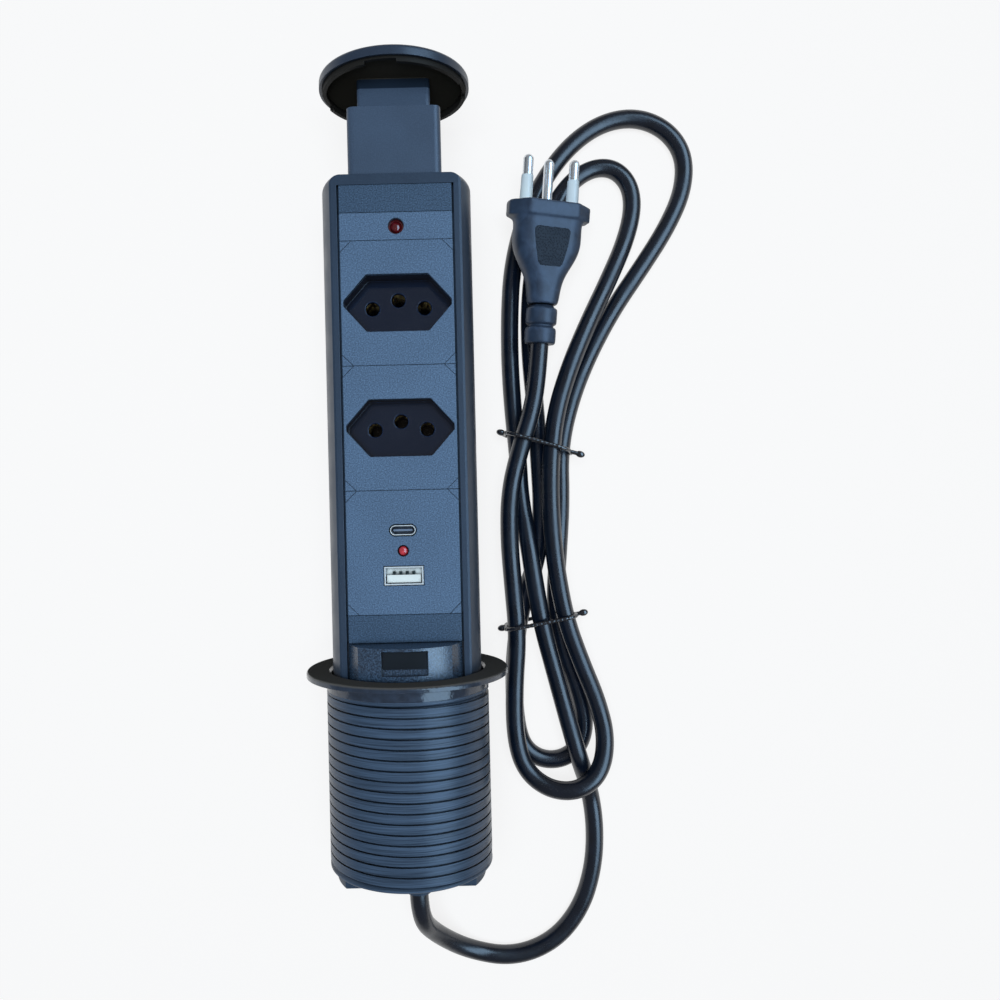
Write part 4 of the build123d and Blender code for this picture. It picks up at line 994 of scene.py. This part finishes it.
class DESKSOCKET_OT_latch(bpy.types.Operator):
    """Finish the latch block, the release button and its seat"""

    bl_idname = "desksocket.latch"
    bl_label = "Latch and button"

    def execute(self, context):
        look = context.scene.desk_socket.tower
        dress(moulded("Latch block", look.latch, 0.22, 0.0005, 0.00008, 1.0, look.edge, 0.8), "latch_block")
        dress(moulded("Button", look.button, 0.4, look.grain, 0.00001, 0.05, 0.0002), "release_button")
        dress(moulded("Spring seat", (0.12, 0.13, 0.15), 0.5, look.grain, 0.00002, 0.1), "spring_seat")
        return {"FINISHED"}


class DESKSOCKET_OT_springs(bpy.types.Operator):
    """Make the two springs, for the cap and for the button"""

    bl_idname = "desksocket.springs"
    bl_label = "Springs"

    def execute(self, context):
        steel = metal("Spring steel", (0.70, 0.72, 0.74), 0.22)
        self.spring("cap_coil", "cap_spring", "cap_press", 1, 0.5 * MM, 6, steel)
        self.spring("button_coil", "button_spring", "button_press", 2, 0.4 * MM, 4, steel)
        return {"FINISHED"}

    def spring(self, name, node, joint, axis, wire, turns, material, steps=24, sides=10):
        """A coil in a solid's box, along X, Y or Z, whose wire has this radius."""
        low, high = (Vector(corner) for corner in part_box(node))
        reach = high[axis] - low[axis]
        along = Vector([float(index == axis) for index in range(3)])
        side = Vector((1.0, 0.0, 0.0))
        radius = (high.x - low.x) / 2 - wire
        foot = (low + high) / 2 - along * (reach / 2 - wire)
        shape = bmesh.new()
        rings = []
        for step in range(turns * steps + 1):
            outward = Matrix.Rotation(2 * pi * step / steps, 3, along) @ side
            point = foot + radius * outward + along * (reach - 2 * wire) * step / (turns * steps)
            ring = []
            for corner in range(sides):
                spoke = 2 * pi * corner / sides
                ring.append(shape.verts.new(point + wire * (cos(spoke) * outward + sin(spoke) * along)))
            rings.append(ring)
        skin(shape, rings)
        piece = shown(name, from_bmesh(name, shape))
        piece.data.materials.append(material)
        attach(piece, "tower")
        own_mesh(piece)
        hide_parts(node)


class DESKSOCKET_OT_inside(bpy.types.Operator):
    """Finish the charging board and what stands on it"""

    bl_idname = "desksocket.inside"
    bl_label = "Charging board"

    def execute(self, context):
        paint = Paint("Circuit board")
        weave = paint.noise(0.0005, 2.0, stretch=(1.0, 6.0, 1.0))
        greens = linear((0.05, 0.28, 0.16)), linear((0.08, 0.40, 0.22))
        paint.colour(paint.mix(paint.span(weave, 0.0, 1.0), *greens))
        paint.roughness(paint.span(paint.noise(0.004), 0.25, 0.4))
        dress(paint.set(Specular_IOR_Level=0.5).material, "usb_board")
        winding = Paint("Winding tape")
        wraps = winding.noise(0.0011, 1.0, stretch=(0.2, 0.2, 4.0))
        yellows = linear((0.72, 0.58, 0.12)), linear((0.90, 0.76, 0.26))
        winding.colour(winding.mix(winding.span(wraps, 0.0, 1.0), *yellows))
        winding.bump(wraps, 0.0001)
        winding.roughness(winding.span(wraps, 0.3, 0.5))
        dress(winding.material, "transformer")
        dress(moulded("Capacitor can", (0.07, 0.08, 0.10), 0.3, 0.001, 0.00001, 0.0, 0.0003), "capacitor")
        return {"FINISHED"}


class DESKSOCKET_OT_plug(bpy.types.Operator):
    bl_idname = "desksocket.plug"
    bl_label = "Plug"

    def execute(self, context):
        look = context.scene.desk_socket.plug
        rubber = self.rubber(look)
        covers = []
        for name, node in (("plug_cover", "plug_body"), ("relief_cover", "plug_strain_relief")):
            cover = rounded(name, node, look.fineness, look.rounds)
            cover.data.materials.clear()
            cover.data.materials.append(rubber)
            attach(cover, "tower")
            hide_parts(node)
            covers.append(cover)
        dress(moulded("Pin sleeve", look.cover, 0.4, 0.001, 0.00001, 0.0, 0.0002), "pin_sleeves")
        dress(metal("Pin metal", (0.93, 0.95, 0.97), 0.24, metallic=0.75), "plug_pins", "plug_earth_pin")
        grip = self.grip(look)
        on_cord = [NODES[name] for name in ("plug_pins", "plug_earth_pin", "pin_sleeves")]
        on_cord += covers + [grip, bpy.data.objects["tie_loop_upper"], bpy.data.objects["tie_loop_lower"]]
        return {"FINISHED"}

    def rubber(self, look):
        """Dull moulded rubber with soft cloudy wear, and painted shade in its gaps and corners."""
        paint = Paint("Plug rubber")
        wear = paint.noise(0.006, 5.0, distortion=0.6)
        patches = paint.span(wear, 0.0, 1.0, 0.38, 0.66)
        tint = paint.mix(patches, tone(look.rubber, 0.72), tone(look.rubber, 1.25))
        # Painted shade in gaps and corners
        paint.colour(paint.mix(paint.crevice_shade(0.002), tone(look.rubber, 0.08), tint))
        paint.bump(paint.noise(0.0007, 3.0), 0.00003)
        paint.roughness(paint.span(wear, 0.36, 0.5))
        return paint.set(Specular_IOR_Level=0.35).material

    def grip(self, look):
        """A shield-shaped patch on the plug's upper face, covered with fine dots."""
        lean, pitch, roll = (radians(angle) for angle in GRIP_ANGLES)
        ahead = Vector((sin(lean) * cos(pitch), cos(lean) * cos(pitch), sin(pitch)))
        across = Vector((cos(lean), -sin(lean), 0.0))
        up = across.cross(ahead)
        side = across * cos(roll) - up * sin(roll)
        top = ahead.cross(side) * -1.0
        if top.z < 0:
            top = -top
        middle = Vector(GRIP_MIDDLE) * MM
        body = NODES["plug_body"].data
        hull = BVHTree.FromPolygons(
            [vertex.co.copy() for vertex in body.vertices], [list(face.vertices) for face in body.polygons]
        )
        rows, columns = 14, 16
        shape = bmesh.new()
        grid = []
        for row in range(rows + 1):
            down = row / rows
            half = (GRIP_HALF_WIDTHS[0] - GRIP_HALF_WIDTHS[1] * down**1.6) * (1.0 if 0 < row < rows else 0.86)
            line = []
            for column in range(columns + 1):
                x = half * (2 * column / columns - 1)
                start = middle + (side * x + ahead * (GRIP_START - GRIP_LENGTH * down)) * MM + top * 0.03
                hit = hull.ray_cast(start, -top)
                if hit[0] is None:
                    raise RuntimeError("the grip misses the plug's body")
                line.append(shape.verts.new(hit[0] + top * GRIP_LIFT))
            grid.append(line)
        for first, last in zip(grid, grid[1:]):
            for index in range(columns):
                shape.faces.new((first[index], first[index + 1], last[index + 1], last[index]))
        bmesh.ops.recalc_face_normals(shape, faces=shape.faces)
        shape.normal_update()
        if sum(face.normal.dot(top) for face in shape.faces) < 0:
            bmesh.ops.reverse_faces(shape, faces=shape.faces)
        base = bpy.data.meshes.new("plug_grip_base")
        shape.to_mesh(base)
        shape.free()
        shaded = tuple(part * 0.5 for part in look.rubber)
        dark = moulded("Plug grip", shaded, 0.5, 0.0006, 0.00003, 0.1, gloss=0.2)
        stipple = Growth("plug_grip")
        size = stipple.input("Dot size", "NodeSocketFloat", look.dot_size)
        gap = stipple.input("Dot gap", "NodeSocketFloat", look.dot_gap)
        seed = stipple.input("Seed", "NodeSocketInt", look.seed)
        patch = stipple.start.outputs["Geometry"]
        places = stipple.node(
            "GeometryNodeDistributePointsOnFaces",
            {"Mesh": patch, "Distance Min": gap, "Seed": seed},
            {"Density Max": 4000000.0},
            distribute_method="POISSON",
        )
        dot = stipple.node("GeometryNodeMeshIcoSphere", {"Radius": size}, {"Subdivisions": 1})
        flat = stipple.placed(dot.outputs[0], {"Scale": (1.0, 1.0, 0.6)})
        dots = stipple.node(
            "GeometryNodeInstanceOnPoints",
            {
                "Points": places.outputs["Points"],
                "Instance": flat,
                "Rotation": places.outputs["Rotation"],
            },
        )
        sheet = stipple.node(
            "GeometryNodeExtrudeMesh", {"Mesh": patch}, {"Offset Scale": -GRIP_THICKNESS, "Individual": False}
        )
        both = stipple.join(sheet.outputs["Mesh"], patch, dots.outputs[0])
        piece = stipple.finished(both, base, dark)
        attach(piece, "tower")
        return piece


class DESKSOCKET_PT_pieces(bpy.types.Panel):
    """The desk socket's pieces and their settings"""

    bl_idname = "DESKSOCKET_PT_pieces"
    bl_label = "Desk socket"
    bl_space_type = "VIEW_3D"
    bl_region_type = "UI"
    bl_category = "Desk socket"

    def draw(self, context):
        for operator, group in STEPS:
            box = self.layout.box()
            box.operator(operator.bl_idname)
            settings = getattr(context.scene.desk_socket, group)
            for name in settings.bl_rna.properties.keys():
                if name not in ("rna_type", "name"):
                    box.prop(settings, name)


GROUPS = (StageSettings, CordSettings, SleeveSettings, TowerSettings, PlugSettings, DeskSocketSettings)
STEPS = (
    (DESKSOCKET_OT_stage, "stage"),
    (DESKSOCKET_OT_cord, "cord"),
    (DESKSOCKET_OT_ties, "cord"),
    (DESKSOCKET_OT_sleeve, "sleeve"),
    (DESKSOCKET_OT_tower, "tower"),
    (DESKSOCKET_OT_modules, "tower"),
    (DESKSOCKET_OT_latch, "tower"),
    (DESKSOCKET_OT_springs, "tower"),
    (DESKSOCKET_OT_inside, "tower"),
    (DESKSOCKET_OT_plug, "plug"),
)


def register():
    for group in GROUPS:
        bpy.utils.register_class(group)
    bpy.types.Scene.desk_socket = PointerProperty(type=DeskSocketSettings)
    for operator, _ in STEPS:
        bpy.utils.register_class(operator)
    bpy.utils.register_class(DESKSOCKET_PT_pieces)


def unregister():
    bpy.utils.unregister_class(DESKSOCKET_PT_pieces)
    for operator, _ in reversed(STEPS):
        bpy.utils.unregister_class(operator)
    del bpy.types.Scene.desk_socket
    for group in reversed(GROUPS):
        bpy.utils.unregister_class(group)


def main():
    """Builds every piece in order."""
    register()
    for operator, _ in STEPS:
        family, name = operator.bl_idname.split(".")
        getattr(getattr(bpy.ops, family), name)()


if __name__ == "__main__":
    main()
